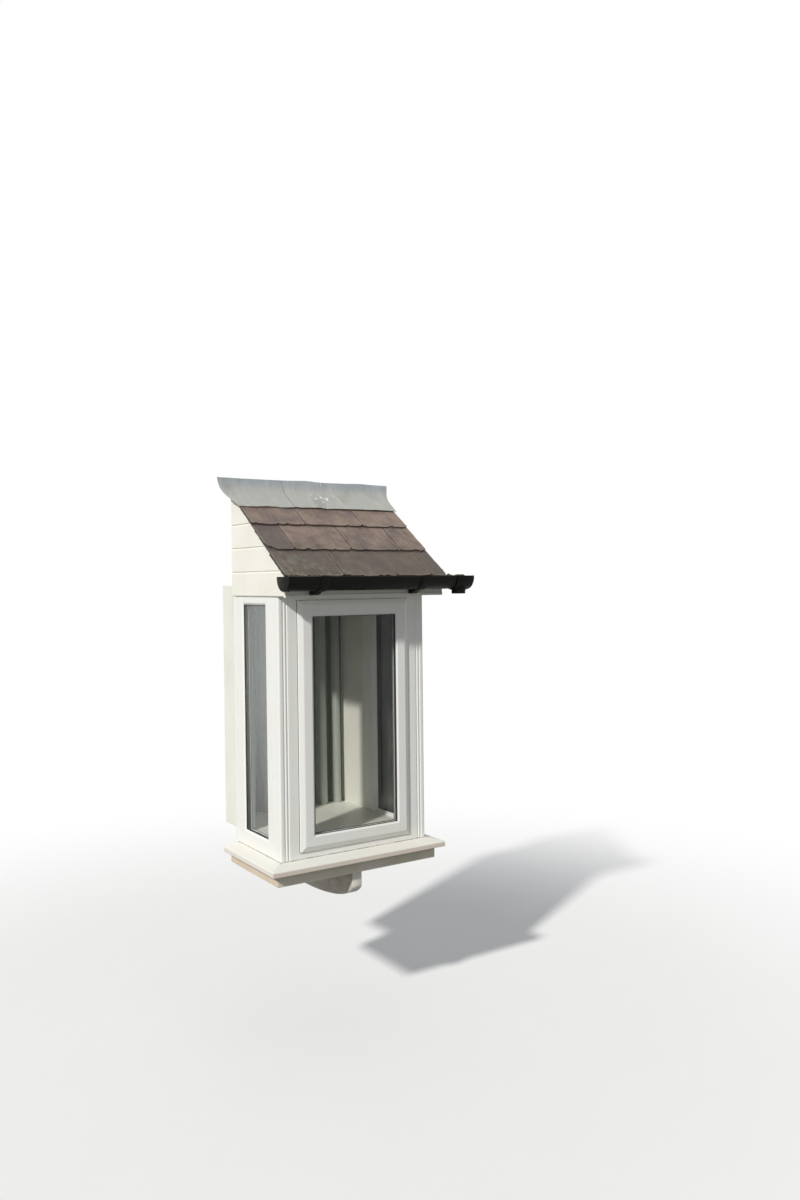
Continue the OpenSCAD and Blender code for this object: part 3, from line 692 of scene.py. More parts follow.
def slate_stone(start):
    """Deep and pale stone mixed by clouds, streaks and the slate's own tone, under lichen, pale rims that are
    partly wear and partly a painted highlight, and grit that is partly painted shade.

    The riven relief is noise cut into even steps, as the stone splits in layers."""
    tone, worn, dirt = [stored(start, name) for name in ("tone", "worn", "dirt")]
    x, y, _ = split(place_on(start))
    clouds = noise(start, 8, detail=7, roughness=0.62)
    streaks = noise(start, 48, (1, 0.1, 0.1), detail=6, roughness=0.62)
    grain = noise(start, 210, detail=7, roughness=0.74)
    paler = between(clouds + tone * 0.19 + (streaks - 0.5) * 0.5, 0.34, 0.68)
    greyer = between(noise(start, 10, detail=5, shift=(4, 4, 4)) + tone * -0.18, 0.42, 0.64)
    film = between(y * -1 + (noise(start, 11, detail=7, roughness=0.65) - 0.5) * 0.8, 0.26, 0.62)
    damp = between(x * -0.7 + y * -1.6 + noise(start, 5, detail=4) * 0.6, 1.12, 1.5)
    patches = marks(start, 0.47, 0.62, 13, detail=8, roughness=0.7, shift=(1, 6, 3))
    spots = marks(start, 0.6, 0.68, 70, detail=5, roughness=0.7, shift=(7, 2, 3))
    colour = coats(
        SLATE_DEEP,
        (paler, SLATE_PALE),
        (greyer * 0.55, SLATE_GREY),
        (between(streaks, 0.52, 0.76) * 0.35, SLATE_STREAK),
        (between(grain, 0.42, 0.7) * 0.4, SLATE_DEEP),
        (film * 0.78, SLATE_FILM),
        (patches * (damp * 0.7 + 0.07), LICHEN),
        (spots * (damp * 0.4 + 0.12), LICHEN_PALE),
        # Pale rims: partly wear, partly a painted highlight where the edges catch the light.
        (worn * between(grain, 0.4, 0.55) * 0.45, SLATE_STREAK),
        # Partly grit, partly painted shade on tails, undersides and just below the next course.
        (between(dirt + (grain - 0.5) * 0.7, 0.3, 0.85) * 0.92, GRIT_AND_SHADE),
    )
    layers = start.math("SNAP", noise(start, 10, (1, 0.55, 0.55), detail=5, roughness=0.6), 0.045)
    riven = layers * 1.5 + clouds * 0.2 + streaks * 0.25 + grain * 0.3
    return surface(colour, grain * 0.3 + 0.4, riven, 0.006)


slate = finish("slate", slate_stone)


# %% [markdown]
# ## Lead
#
# Lead turns from bright metal to a soft blue-grey skin. Rain washes white streaks down it, and it is
# duller and browner where it is often wet.

# %% Lead finish
LEAD_BLUE = (0.35, 0.39, 0.41)
LEAD_GREY = (0.405, 0.405, 0.375)
LEAD_DIRTY = (0.25, 0.235, 0.205)
LEAD_WASHED = (0.53, 0.535, 0.515)
LAP_X = -0.131
SPLASH_X, SPLASH_Y = 0.08, -0.085
BLUE_FROM = low("lead_flashing")[2] + 0.112


def lead_skin(start):
    """Blue-grey to warm grey down the sheet, with pale streaks, dark stains and a few white splashes."""
    x, y, z = split(place_on(start))
    bluer = between(z + noise(start, 6, detail=4) * 0.06, BLUE_FROM, BLUE_FROM + 0.07)
    streaks = marks(start, 0.5, 0.75, 38, (1, 0.12, 0.12), detail=5)
    stains = marks(start, 0.52, 0.72, 8, (1, 0.5, 0.5), detail=6, shift=(2, 0, 5))
    splash = marks(start, 0.61, 0.66, 70, (1, 0.5, 0.5), detail=3, shift=(6, 0, 0))
    off_x, off_y = x - SPLASH_X, y - SPLASH_Y
    patch = 1 - between(off_x * off_x + off_y * off_y, 0.0006, 0.011)
    at_lap = 1 - between(start.math("ABSOLUTE", x - LAP_X), 0.0008, 0.0035)
    colour = coats(LEAD_GREY, (bluer, LEAD_BLUE), (streaks * 0.4, LEAD_WASHED), (stains * 0.5, LEAD_DIRTY),
                   (at_lap * 0.7, (0.12, 0.115, 0.105)), (splash * patch, (0.86, 0.86, 0.83)))
    dents = noise(start, 22, detail=3) + noise(start, 90, detail=4) * 0.3
    return surface(colour, stains * 0.15 + streaks * 0.1 + 0.5, dents, 0.003, 0.7)


lead = finish("lead_sheet", lead_skin, Metallic=0.15)


# %% [markdown]
# ## Black plastic, moss and screws
#
# The gutter is old black plastic: glossy where it is clean, grey with dust on what faces up, and
# streaked where water has run over the edge.

# %% Black plastic, moss and screws
def black_plastic(start):
    """Black with grey dust on upward faces and pale vertical runs."""
    upward = between(facing(start, 2), 0.2, 0.9)
    dust = marks(start, 0.4, 0.7, 60, detail=6, roughness=0.7)
    runs = marks(start, 0.58, 0.8, 45, (1, 1, 0.06), detail=4)
    colour = coats((0.003, 0.003, 0.0025), (dust * (upward * 0.6 + 0.015), (0.09, 0.085, 0.07)),
                   (runs * 0.05, (0.07, 0.07, 0.06)))
    return surface(colour, dust * 0.25 + runs * 0.1 + 0.43, noise(start, 35, detail=5), 0.0008, 0.5)


def wet_moss(start):
    """Dark brown and green clumps."""
    clumps = noise(start, 120, detail=6, roughness=0.7)
    colour = blend(between(clumps, 0.4, 0.7), (0.018, 0.015, 0.009), (0.07, 0.075, 0.025))
    return surface(colour, clumps * 0.2 + 0.75, clumps, 0.004)


def zinc_screw(start):
    """Bright zinc gone patchy with rust."""
    rust = marks(start, 0.5, 0.65, 300, detail=5)
    return {"Base Color": blend(rust, (0.45, 0.45, 0.44), (0.20, 0.09, 0.04)),
            "Roughness": rust * 0.4 + 0.3, "Metallic": 1 - rust}


black = finish("black_plastic", black_plastic, Specular_IOR_Level=0.1)
moss = finish("wet_moss", wet_moss, "slate")
zinc = finish("zinc_screw", zinc_screw, "spacer_metal")


# %% [markdown]
# ## Timber, plywood and foam
#
# These only show from behind, where the bay would meet the wall, but they are real pieces. Sawn pine
# has long grain, so the noise is stretched along the piece.

# %% Timber, plywood and foam
def sawn_pine(name, stretch):
    """Pine whose grain follows the axis that stretch squeezes."""
    def recipe(start):
        """Growth rings are a wave bent by noise, and saw marks are fine noise."""
        rings = start.math("SINE", noise(start, 6, stretch, detail=3) * 60) * 0.5 + 0.5
        fibres = noise(start, 240, stretch, detail=5, roughness=0.65)
        colour = coats((0.60, 0.42, 0.23), (between(rings, 0.3, 0.95) * 0.6, (0.40, 0.235, 0.10)),
                       (between(fibres, 0.45, 0.75) * 0.4, (0.27, 0.16, 0.08)))
        return surface(colour, fibres * 0.2 + 0.62, fibres + rings * 0.3, 0.0012)
    return finish(name, recipe)


def plywood(start):
    """Layers a few millimetres thick across z, pale and dark in turn, under a soft face grain."""
    _, y, z = split(place_on(start))
    ply = start.math("SINE", (z - y * SLOPE) * 1400) * 0.5 + 0.5
    fibres = noise(start, 90, (0.08, 1, 1), detail=5)
    colour = coats((0.55, 0.41, 0.25), (ply * 0.4, (0.40, 0.27, 0.14)),
                   (between(fibres, 0.4, 0.7) * 0.45, (0.33, 0.21, 0.11)))
    return surface(colour, fibres * 0.2 + 0.6, fibres, 0.001)


def foam_board(start):
    """Cream foam with small closed bubbles."""
    cells = start.node("TexVoronoi", None, {"Vector": place_on(start), "Scale": 420.0})
    return surface(blend(cells, (0.70, 0.60, 0.38), (0.82, 0.74, 0.54)), cells * 0.1 + 0.8, cells, 0.0008)


pine_x = sawn_pine("sawn_pine_level", (0.06, 1, 1))
pine_y = sawn_pine("sawn_pine_sloped", (1, 0.06, 0.08))
pine_z = sawn_pine("sawn_pine_upright", (1, 1, 0.06))
ply = finish("plywood", plywood)
foam = finish("foam_board", foam_board)


# %% [markdown]
# ## Cloth
#
# The curtains are a plain grey-green weave. Threads are two fine waves across each other, read from the
# cloth's own UV map, so that they follow the folds. A number on each point says how deep in a fold it
# lies, and the cloth is painted much darker there, as painted shade in the deep folds.

# %% Curtain cloth
CLOTH_PALE = (0.46, 0.50, 0.43)
CLOTH_FOLD_SHADE = (0.030, 0.034, 0.026)
THREADS = 5000


def curtain_cloth(start):
    """Crossed threads, faded in broad bands, and painted shade, nearly black, where the fold attribute is
    high.
    """
    across, along, _ = split(start.node("UVMap", {"uv_map": "cloth"}))
    weft, warp = [start.math("SINE", way * THREADS) * 0.5 + 0.5 for way in (along, across)]
    slub = noise(start, 90, (1, 1, 0.05), detail=4)
    bands = marks(start, 0.35, 0.7, 30, (1, 0.2, 0.03), detail=3)
    colour = coats(CLOTH_PALE, (bands * 0.3, (0.34, 0.36, 0.30)),
                   # Painted shade in the deep folds.
                   (between(stored(start, "fold"), 0.62, 0.88) * 0.93, CLOTH_FOLD_SHADE),
                   (weft * warp * 0.2 + slub * 0.15, (0.22, 0.23, 0.19)))
    return surface(colour, slub * 0.1 + 0.82, weft * 0.5 + warp * 0.5 + slub, 0.0004)


cloth = finish("curtain_cloth", curtain_cloth, Sheen_Weight=0.25)


# %% [markdown]
# ## The outer frame
#
# A fixed ring of plastic with unequal members: the head is deeper, because an extension is clipped on
# top of it to reach the eaves. The section is a plain box with eased edges, because the casement laps
# over its inner edge and hides the rest.

# %% Outer frame
FRAME_W = 2 * high("front_frame")[0]
POST_W = HALF_W - FRAME_W / 2
(_, CASEMENT_Y, CASEMENT_Z), casement_high = corners("front_sash")
CASEMENT_W = 2 * casement_high[0]
CASEMENT_T = casement_high[1] - CASEMENT_Y
CASEMENT_H = casement_high[2] - CASEMENT_Z
LAP = 0.008
SIDE_MEMBER = (FRAME_W - CASEMENT_W) / 2 + LAP
FOOT_MEMBER = CASEMENT_Z - FRAME_FOOT + LAP
HEAD_MEMBER = FRAME_HEAD - CASEMENT_Z - CASEMENT_H + LAP

frame_section = rounded(rectangle(0, 0, SIDE_MEMBER, FRAME_T), 0.0025)
outer_ring = welded(frame_section, FRAME_W, FRAME_HEAD - FRAME_FOOT,
                    (SIDE_MEMBER, FOOT_MEMBER, SIDE_MEMBER, HEAD_MEMBER))
piece("outer_frame", [in_front(outer_ring, FACE_Y, FRAME_FOOT)], plastic, "front_frame")

# %% [markdown]
# ## The casement
#
# The opening part stands in front of the frame. Its section starts with a wide bevel, goes flat, and
# turns in to the glass with a narrow chamfer. Behind the face a body fits inside the frame.

# %% Casement
MEMBER = 0.075
BEVEL_W, BEVEL_D = 0.024, 0.011
CHAMFER_W, CHAMFER_D = 0.009, 0.006
SEAT_D = 0.008
BITE = 0.012
UNIT = 0.024
BEAD_BACK = 0.016
BEAD_END = SEAT_D + UNIT + BEAD_BACK
SPLAY = 0.42
PROUD = FACE_Y - CASEMENT_Y
BODY_IN = 0.011


def sash_section(member, bevel, thickness):
    """Outline of a glazed member, as (distance in, depth), with a bevel or a square outer edge.

    Behind the bead the room side splays away from the glass by SPLAY for each unit of depth."""
    face = [(0, bevel[1]), (bevel[0], 0)] if bevel else [(0, 0)]
    seat = member - BITE
    glass_side = [(member - CHAMFER_W, 0), (member, CHAMFER_D), (member, SEAT_D), (seat, SEAT_D),
                  (seat, BEAD_END), (seat - SPLAY * (thickness - BEAD_END), thickness)]
    back = [(BODY_IN, thickness), (BODY_IN, PROUD), (0, PROUD)] if bevel else [(0, thickness)]
    return rounded(face + glass_side + back, 0.0022)


casement_ring = welded(sash_section(MEMBER, (BEVEL_W, BEVEL_D), CASEMENT_T), CASEMENT_W, CASEMENT_H)
piece("casement", [in_front(casement_ring, CASEMENT_Y, CASEMENT_Z)], plastic, "front_sash")

# %% [markdown]
# ## The side windows
#
# Both are fixed lights in one profile, so the same section and the same ring serve left and right.

# %% Side windows
SIDE_W = high("left_frame")[1] - low("left_frame")[1]
SIDE_H = FRAME_HEAD - FRAME_FOOT
SIDE_FACE = 0.078
side_ring = welded(sash_section(SIDE_FACE, None, FRAME_T), SIDE_W, SIDE_H)
for hand, side in SIDES:
    piece(f"{hand}_light_frame", [at_side(side_ring, side, FRAME_FOOT)], plastic, f"{hand}_frame")

# %% [markdown]
# ## Beads and gaskets
#
# A clipped bead holds each pane from inside. Its face slopes back towards the room. Thin rubber gaskets
# fill the corners between plastic and glass on both sides, and another seals the gap round the casement.

# %% Beads and gaskets
GASKET_W = 0.0032
BEAD_EDGE = 0.005
UNIT_BACK = SEAT_D + UNIT
SEAL_REACH = 0.0015
bead_section = rounded([(0, UNIT_BACK), (BITE, UNIT_BACK), (BITE, UNIT_BACK + BEAD_EDGE),
                        (BITE * 0.35, BEAD_END), (0, BEAD_END)], 0.0015)
gasket_section = rounded([(0, SEAT_D - 0.0035), (GASKET_W, SEAT_D - 0.0012), (GASKET_W, SEAT_D),
                          (0, SEAT_D)], 0.0006)
inner_gasket = gasket_section * (1, -1) + (BITE - 0.0005, SEAT_D + UNIT_BACK)
seal_section = rounded(rectangle(0, -0.001, LAP * 0.7, 0.002), 0.0006)


def three_windows(section, grow):
    """A section carried round the glass of all three windows, grow outside the opening that shows."""
    made = []
    for width, height in ((CASEMENT_W - 2 * MEMBER, CASEMENT_H - 2 * MEMBER),
                          (SIDE_W - 2 * SIDE_FACE, SIDE_H - 2 * SIDE_FACE)):
        points, faces = welded(section, width + 2 * grow, height + 2 * grow)
        made.append((points - np.array([0, 0, grow]), faces))
    return [in_front(made[0], CASEMENT_Y, CASEMENT_Z + MEMBER),
            *[at_side(made[1], side, FRAME_FOOT + SIDE_FACE) for _, side in SIDES]]


piece("inner_beads", three_windows(bead_section, BITE), plastic, "glazing_beads")
piece("glass_gaskets", three_windows(gasket_section, 0), rubber)
piece("bead_gaskets", three_windows(inner_gasket, BITE), rubber)
seal = welded(seal_section, CASEMENT_W + 2 * SEAL_REACH, CASEMENT_H + 2 * SEAL_REACH)
piece("casement_seal", [in_front(seal, FACE_Y - 0.001, CASEMENT_Z - SEAL_REACH)], rubber)

# %% [markdown]
# ## The handle
#
# A moulded handle: a rounded plate, a neck and a lever that swells towards its end. The lever is a
# superellipse carried down a gently bent line.

# %% Handle
handle_low, handle_high = corners("casement_handle")
HANDLE_X = (handle_low[0] + handle_high[0]) / 2
PIVOT_UP = 0.118
HANDLE_Z = handle_low[2] + PIVOT_UP
PLATE_FACE, LEVER_FACE = handle_low[1], handle_high[1]
LEVER_L = 0.125
LEVER_OVER = 0.009
LEVER_ROWS = 26


def stack_of(centres, halves, axes, power=3.0, count=28):
    """Superellipses |u|^power + |v|^power = 1, stretched by halves round centres, in the plane of axes."""
    angle = np.linspace(0, 2 * np.pi, count, endpoint=False)
    wave = np.stack([np.cos(angle), np.sin(angle)])
    ring = np.sign(wave) * abs(wave) ** (2 / power)
    rows = np.asarray(centres, float)[:, None, :].repeat(count, 1)
    for k, axis in enumerate(axes):
        rows[:, :, axis] += np.asarray(halves, float)[:, None, k] * ring[None, k]
    return skin(rows)


plate_y = PLATE_FACE + np.array([0, 0.005, 0.0072, 0.008])
plate_part = stack_of([(HANDLE_X, y, HANDLE_Z) for y in plate_y],
                      [(0.014, 0.035), (0.014, 0.035), (0.0128, 0.0338), (0.009, 0.030)], (0, 2), 4)
neck_y = np.linspace(PLATE_FACE + 0.004, LEVER_FACE - 0.004, 8)
neck_part = stack_of([(HANDLE_X, y, HANDLE_Z) for y in neck_y], [(0.0085, 0.0085)] * 8, (0, 2), 2)
drop = np.linspace(0, 1, LEVER_ROWS)
lever_z = HANDLE_Z + LEVER_OVER - LEVER_L * drop
lever_y = LEVER_FACE - 0.0065 - 0.002 * np.sin(np.pi * drop)
swell = np.sqrt(np.clip(1 - (2 * drop - 1) ** 12, 0.04, 1))
lever_part = stack_of(np.stack([np.full(LEVER_ROWS, HANDLE_X), lever_y, lever_z], 1),
                      np.stack([(0.0075 + 0.0015 * drop) * swell, 0.0045 * swell], 1), (0, 1), 2.6)
piece("window_handle", [plate_part, neck_part, lever_part], plastic, "casement_handle", 40)

# %% [markdown]
# ## Corner posts and wall trims
#
# A post has a soft outer corner and two grooves down its face, which throw the thin upright shadows
# that make the corner look ribbed. The trim closes the side window to the wall, and above it a narrower
# strip goes on to the ceiling, so that no daylight comes through the corner.

# %% Corner posts and wall trims
GROOVE_W, GROOVE_D, GROOVE_FLAT = 0.012, 0.0030, 0.0015
GROOVES = (0.0255, 0.0415)
POST_RADIUS = 0.014
STRIP_LAP = 0.003


def post_outline():
    """Plan of the left post: a box with a round outer corner and two V grooves in its face."""
    outline, radii = [(-HALF_W, FACE_Y)], [POST_RADIUS]
    for middle in GROOVES:
        x = -HALF_W + middle
        outline += [(x - GROOVE_W / 2, FACE_Y), (x - GROOVE_FLAT, FACE_Y + GROOVE_D),
                    (x + GROOVE_FLAT, FACE_Y + GROOVE_D), (x + GROOVE_W / 2, FACE_Y)]
        radii += [0.0015, 0.0012, 0.0012, 0.0015]
    outline += [(-HALF_W + POST_W, FACE_Y), (-HALF_W + POST_W, INNER_Y), (-HALF_W, INNER_Y)]
    return rounded(outline, radii + [0.001, 0.001, 0.002], steps=6)


def cover_strip(start, end):
    """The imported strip, and over it a narrower length that closes the corner up to the ceiling."""
    above = np.clip(start[0], -HALF_W, HALF_W), start[1], end[2] - STRIP_LAP
    ceiling = np.clip(end[0], -HALF_W, HALF_W), end[1], FRAME_HEAD
    return [plank(start, end, "z", 0.003), plank(above, ceiling, "z", 0.001)]


points, faces = length_of(post_outline(), FRAME_FOOT, FRAME_HEAD, 0.001, "z")
for hand, side in SIDES:
    piece(f"{hand}_grooved_post", [(points * (-side, 1, 1), faces)], plastic, f"{hand}_corner_post")
for hand, _ in SIDES:
    trim = f"{hand}_wall_trim"
    piece(f"{hand}_cover_strip", cover_strip(*corners(trim)), plastic, trim)

# %% [markdown]
# ## The sill
#
# One section goes round three sides and is mitred at the two front corners, as a sill is cut. The three
# lengths stay separate, so the mitre shows as a fine line.

# %% Sill
SILL_OVER = -low("front_sill")[1] + FACE_Y
NOSE_FALL, NOSE_H, NOSE_T = 0.018, 0.025, 0.010
SILL_UNDER = SILL_TOP - 0.040
MITRE_GAP = 0.0005

nose_foot = SILL_TOP - NOSE_FALL - NOSE_H
sill_outline = rounded(
    [(-FRAME_T, SILL_UNDER), (-FRAME_T, SILL_TOP), (0, SILL_TOP), (SILL_OVER, SILL_TOP - NOSE_FALL),
     (SILL_OVER, nose_foot), (SILL_OVER - NOSE_T, nose_foot), (SILL_OVER - NOSE_T, SILL_UNDER)],
    [0.001, 0.001, 0.004, 0.006, 0.003, 0.002, 0.002], steps=4)
out, rise = sill_outline.T
wall_row = np.stack([-HALF_W - out, np.zeros_like(out), rise], -1)
corner_row = np.stack([-HALF_W - out, FACE_Y - out, rise], -1)
MIRROR, gap = (-1, 1, 1), np.array([MITRE_GAP, 0, 0])
sill_lengths = {
    "front": (corner_row + gap, corner_row * MIRROR - gap),
    "left": (wall_row, corner_row - gap),
    "right": (corner_row * MIRROR + gap, wall_row * MIRROR),
}
for hand, ends in sill_lengths.items():
    piece(f"{hand}_sill_length", [skin(np.stack(ends))], sill_white, f"{hand}_sill")

# %% [markdown]
# A bead of sealant closes the joint between the frames and the sill. Laid by hand, its width wanders a
# little, so its radius is noise along its length.

# %% Sealant bead
def sealant_run(start_xy, end_xy, seed, radius=0.0028, count=90):
    """A thin tube along the sill from start to end whose radius wanders by a quarter."""
    t = np.linspace(0, 1, count)[:, None]
    line = np.array(start_xy) * (1 - t) + np.array(end_xy) * t
    reach = radius * (1 + 0.25 * rough(t[:, 0] * 40, 0, 1, seed))[:, None]
    angle = np.linspace(0, 2 * np.pi, 9)[None, :-1]
    along = np.array(end_xy) - np.array(start_xy)
    sideways = np.array([-along[1], along[0]]) / np.linalg.norm(along)
    xy = line[:, None, :] + (reach * np.cos(angle))[..., None] * sideways
    return skin(np.concatenate([xy, (SILL_TOP + reach * np.sin(angle))[..., None]], -1))


joints = [
    sealant_run((-HALF_W, FACE_Y), (HALF_W, FACE_Y), 1),
    sealant_run((-HALF_W, -0.001), (-HALF_W, FACE_Y), 2),
    sealant_run((HALF_W, FACE_Y), (HALF_W, -0.001), 3),
]
piece("sill_sealant", joints, sealant, smooth_below=60)

# %% [markdown]
# ## Boards below and inside
#
# The aprons, the soffit, the linings and the window board are planks with eased edges. The window board
# ends in a half-round nose towards the room.

# %% Planks
planks = [
    ("front_apron_board", "front_apron", "x", 0.003, board),
    ("left_apron_board", "left_apron", "y", 0.003, board),
    ("right_apron_board", "right_apron", "y", 0.003, board),
    ("soffit_board", "eaves_soffit", "x", 0.0015, board),
    ("window_board", "inner_board", "x", 0.006, paint),
    ("left_lining", "left_reveal_lining", "z", 0.002, paint),
    ("right_lining", "right_reveal_lining", "z", 0.002, paint),
    ("head_board", "head_lining", "x", 0.002, paint),
    ("ceiling_panel", "ceiling_board", "x", 0.0015, paint),
    ("rail", "curtain_rail", "x", 0.003, plastic),
]
for name, node, axis, edge, look in planks:
    piece(name, [plank(*corners(node), axis, edge)], look, node)

# %% [markdown]
# ## The centre bracket
#
# A small bracket shaped like a quarter of a dish: upright at the front, and swelling down to the wall.
# Its side edges are chamfered, so the outline is drawn twice more, a little smaller, at each side.

# %% Centre bracket
BRACKET_NOSE = 0.069
bracket_low, bracket_high = corners("centre_bracket")
nose_z = bracket_high[2] - BRACKET_NOSE
angle = np.linspace(0, np.pi / 2, 28)
belly = np.stack([bracket_low[1] * np.cos(angle), nose_z + (bracket_low[2] - nose_z) * np.sin(angle)], 1)
top_edge = [(0, bracket_high[2]), (bracket_low[1], bracket_high[2])]
bracket = length_of(np.concatenate([top_edge, belly]), bracket_low[0], bracket_high[0], 0.004)
piece("curved_bracket", [bracket], paint, "centre_bracket", 30)

# %% [markdown]
# ## The cheeks
#
# Over each side window the roof's end is closed with level boards whose edges are chamfered, so a V
# runs along every joint. The section is drawn up the height, with its grooves, and each of its points
# is carried inwards until it meets the slope.

# %% Cheeks
BOARD_H = 0.116
GROOVE_OPEN, GROOVE_DEEP = 0.0050, 0.0055
CHEEK_FOOT = low("left_cheek")[2]
CHEEK_T = high("right_cheek")[0] - HALF_W
LEAST_LENGTH = 0.004


def cheek(side, depth):
    """Boards stacked from the cheek's foot up to a slope that lies depth below the deck's upper face.

    Each point (t, z) of a board's section runs from the wall to the fascia, or to where the slope
    comes down to z, whichever is nearer."""
    parts, foot = [], CHEEK_FOOT
    top = deck_z(0) - depth
    while foot < top - LEAST_LENGTH:
        head = min(foot + BOARD_H, top - LEAST_LENGTH)
        cut = GROOVE_OPEN if head < top - BOARD_H * 0.2 else 0.0005
        section = rounded([(0, foot), (CHEEK_T - GROOVE_DEEP, foot), (CHEEK_T, foot + GROOVE_OPEN),
                           (CHEEK_T, head - cut), (CHEEK_T - GROOVE_DEEP, head), (0, head)], 0.0006)
        far = np.maximum(FASCIA_BACK, (section[:, 1] - top) / SLOPE)
        y = far[None] * np.linspace(0, 1, 24)[:, None]
        x = np.broadcast_to(side * (HALF_W + section[:, 0])[None], y.shape)
        z = np.broadcast_to(section[:, 1][None], y.shape)
        parts.append(skin(np.stack([x, y, z], -1)))
        foot += BOARD_H
    return parts


DECK_T = deck_z(0) - high("rafters")[2]
piece("left_cheek_boards", cheek(-1, 0), board, "left_cheek")
piece("right_cheek_boards", cheek(1, DECK_T), board, "right_cheek")

# %% [markdown]
# ## Fascia and barge board
#
# The fascia is one board across the eaves with a rolled lip along its foot. The barge board follows the
# slope at the free end.

# %% Fascia and barge board
LIP, LIP_H = 0.003, 0.013
BARGE_DROP = 0.095
fascia_foot, deck_end = fascia_low[2], deck_z(FASCIA_BACK)
fascia_outline = rounded(
    [(FASCIA_Y, fascia_foot), (FASCIA_BACK, fascia_foot), (FASCIA_BACK, deck_end),
     (FASCIA_Y + LIP, deck_z(FASCIA_Y)), (FASCIA_Y + LIP, fascia_foot + LIP_H + LIP),
     (FASCIA_Y, fascia_foot + LIP_H)], 0.0022)
fascia = length_of(fascia_outline, fascia_low[0], fascia_high[0])
piece("fascia_board", [fascia], board, "front_fascia")

barge_low, barge_high = corners("right_barge_board")
barge_outline = rounded([(0, deck_z(0) - BARGE_DROP), (FASCIA_BACK, max(barge_low[2], deck_end - BARGE_DROP)),
                         (FASCIA_BACK, deck_end), (0, deck_z(0))], 0.002)
piece("barge_board", [length_of(barge_outline, barge_low[0], barge_high[0], 0.002)], board,
      "right_barge_board")

# %% [markdown]
# ## Slates
#
# A slate is split, not sawn: its face is riven in shallow flakes and its edges are dressed by hand, so
# they wander and chip. Each slate is a grid across and up the slope. The tail edge is bitten by noise,
# the rim sinks a little, and the whole slate lies on the course below. The joints break over the slates
# beneath, as on any roof. Grit gathers in the joints. Each slate is also darker on its tail and underside
# and in a band just below the next course, partly grit and partly painted shade, so every point also
# carries how dark it is.

# %% One slate
(ROOF_L, EAVES_Y, _), (ROOF_R, _, _) = corners("slate_courses")
GAUGE = 0.173
TAIL_UP, STEP = 0.020, 0.009
SLATE_T, SLATE_GAP = 0.0055, 0.0028
SLATE_SUNK = 0.0036
RIM_W = 0.003
WANDER = 0.0014
GRID = 64


def course_z(y, course):
    """Height of a course's upper face: TAIL_UP over the deck at its tail, and STEP less at each gauge."""
    return deck_z(y) + TAIL_UP - STEP * (y - EAVES_Y - course * GAUGE) / GAUGE


def tail_bite(run, width, seed):
    """How far the tail is worn back at each place: fine and broad noise, chips where a third noise is
    high, and corners that fall away as exp(-distance / size)."""
    bite = 0.0015 * rough(run, 0, 0.007, seed) + 0.0026 * rough(run, 0, 0.045, seed + 1)
    chip = np.clip(rough(run, 0, 0.024, seed + 2) - 0.4, 0, 1) * 0.014
    size_l, size_r = np.random.default_rng(seed + 9).uniform(0.003, 0.012, 2)
    worn = size_l * np.exp(-run / size_l) + size_r * np.exp((run - width) / size_r)
    return np.clip(bite + chip + worn + 0.001, 0, None)


def one_slate(x0, x1, tone, course, cover_y, seed, corner=0.0, gauges=1.85, grime=0.55):
    """Points and faces of one slate between x0 and x1, and its tone, worn and dirt values.

    cover_y is where the next course starts, and grime how dark the slate is just below it, partly grit
    and partly painted shade. corner breaks that much off the lower left corner."""
    across, upward = np.meshgrid(np.linspace(0, 1, GRID), np.linspace(0, 1, GRID) ** 1.3, indexing="ij")
    width = x1 - x0
    run = across * width
    broken = np.clip(corner - run, 0, 1) * 0.6 * (1 + 0.35 * rough(run, 0, 0.010, seed + 10))
    tail = EAVES_Y + course * GAUGE + tail_bite(run, width, seed) + broken
    head = min(EAVES_Y + (course + gauges) * GAUGE, -0.002)
    y = tail + (head - tail) * upward
    left, right_edge = [SLATE_GAP / 2 + WANDER * rough(y, 0, 0.016, seed + n) for n in (3, 4)]
    x = (x0 + left) * (1 - across) + (x1 - right_edge) * across
    flakes = rough(x, y * 0.45, 0.045, seed + 5) + 0.5 * rough(x, y, 0.014, seed + 6)
    steps = np.round(flakes * 2.2) / 2.2 * 0.6 + flakes * 0.4
    rim = np.minimum(np.minimum(across, 1 - across) * width, (y - tail) * np.hypot(1, SLOPE))
    # A pale band near each edge: partly wear, partly a painted highlight.
    worn = np.exp(-((rim - 1.5 * RIM_W) / RIM_W) ** 2)
    lift = 0.0026 * (0.5 + 0.5 * rough(x, 0, 0.11, seed + 7)) * (1 - upward) - SLATE_SUNK
    face_z = course_z(y, course) + lift
    upper = face_z + 0.0012 * steps - 0.0005 * np.clip(1 - rim / RIM_W, 0, 1)
    under = np.minimum(np.maximum(face_z - SLATE_T, deck_z(y) + 0.0004), upper - 0.001)
    # Painted shade, with some grit: the slate darkens towards the tail of the next course.
    shade = np.where(y < cover_y, np.exp(-((cover_y - y) / 0.008) ** 2), 1)
    dirt = np.maximum(grime * shade, 0.6 * np.clip(1 - rim / 0.0022, 0, 1))
    points, faces = sheet_of(np.stack([x, y, upper], -1), np.stack([x, y + 0.0012 * (1 - upward), under], -1))
    worn = np.concatenate([worn.ravel(), np.zeros(worn.size)])
    # The underside, and with it the tail's edge, is dark: partly grit, partly painted shade.
    dirt = np.concatenate([dirt.ravel(), np.full(dirt.size, 0.8)])
    return (points, faces), np.full(len(points), tone), worn, dirt


# %% [markdown]
# Each course is a list of slates, each written as the x of its left edge and its tone, from -1 for dark
# and grey to 1 for pale and brown. At the eaves a short course lies under the first, as it must to keep
# out the rain.

# %% Slate courses
LEAD_RUN = -low("lead_flashing")[1]
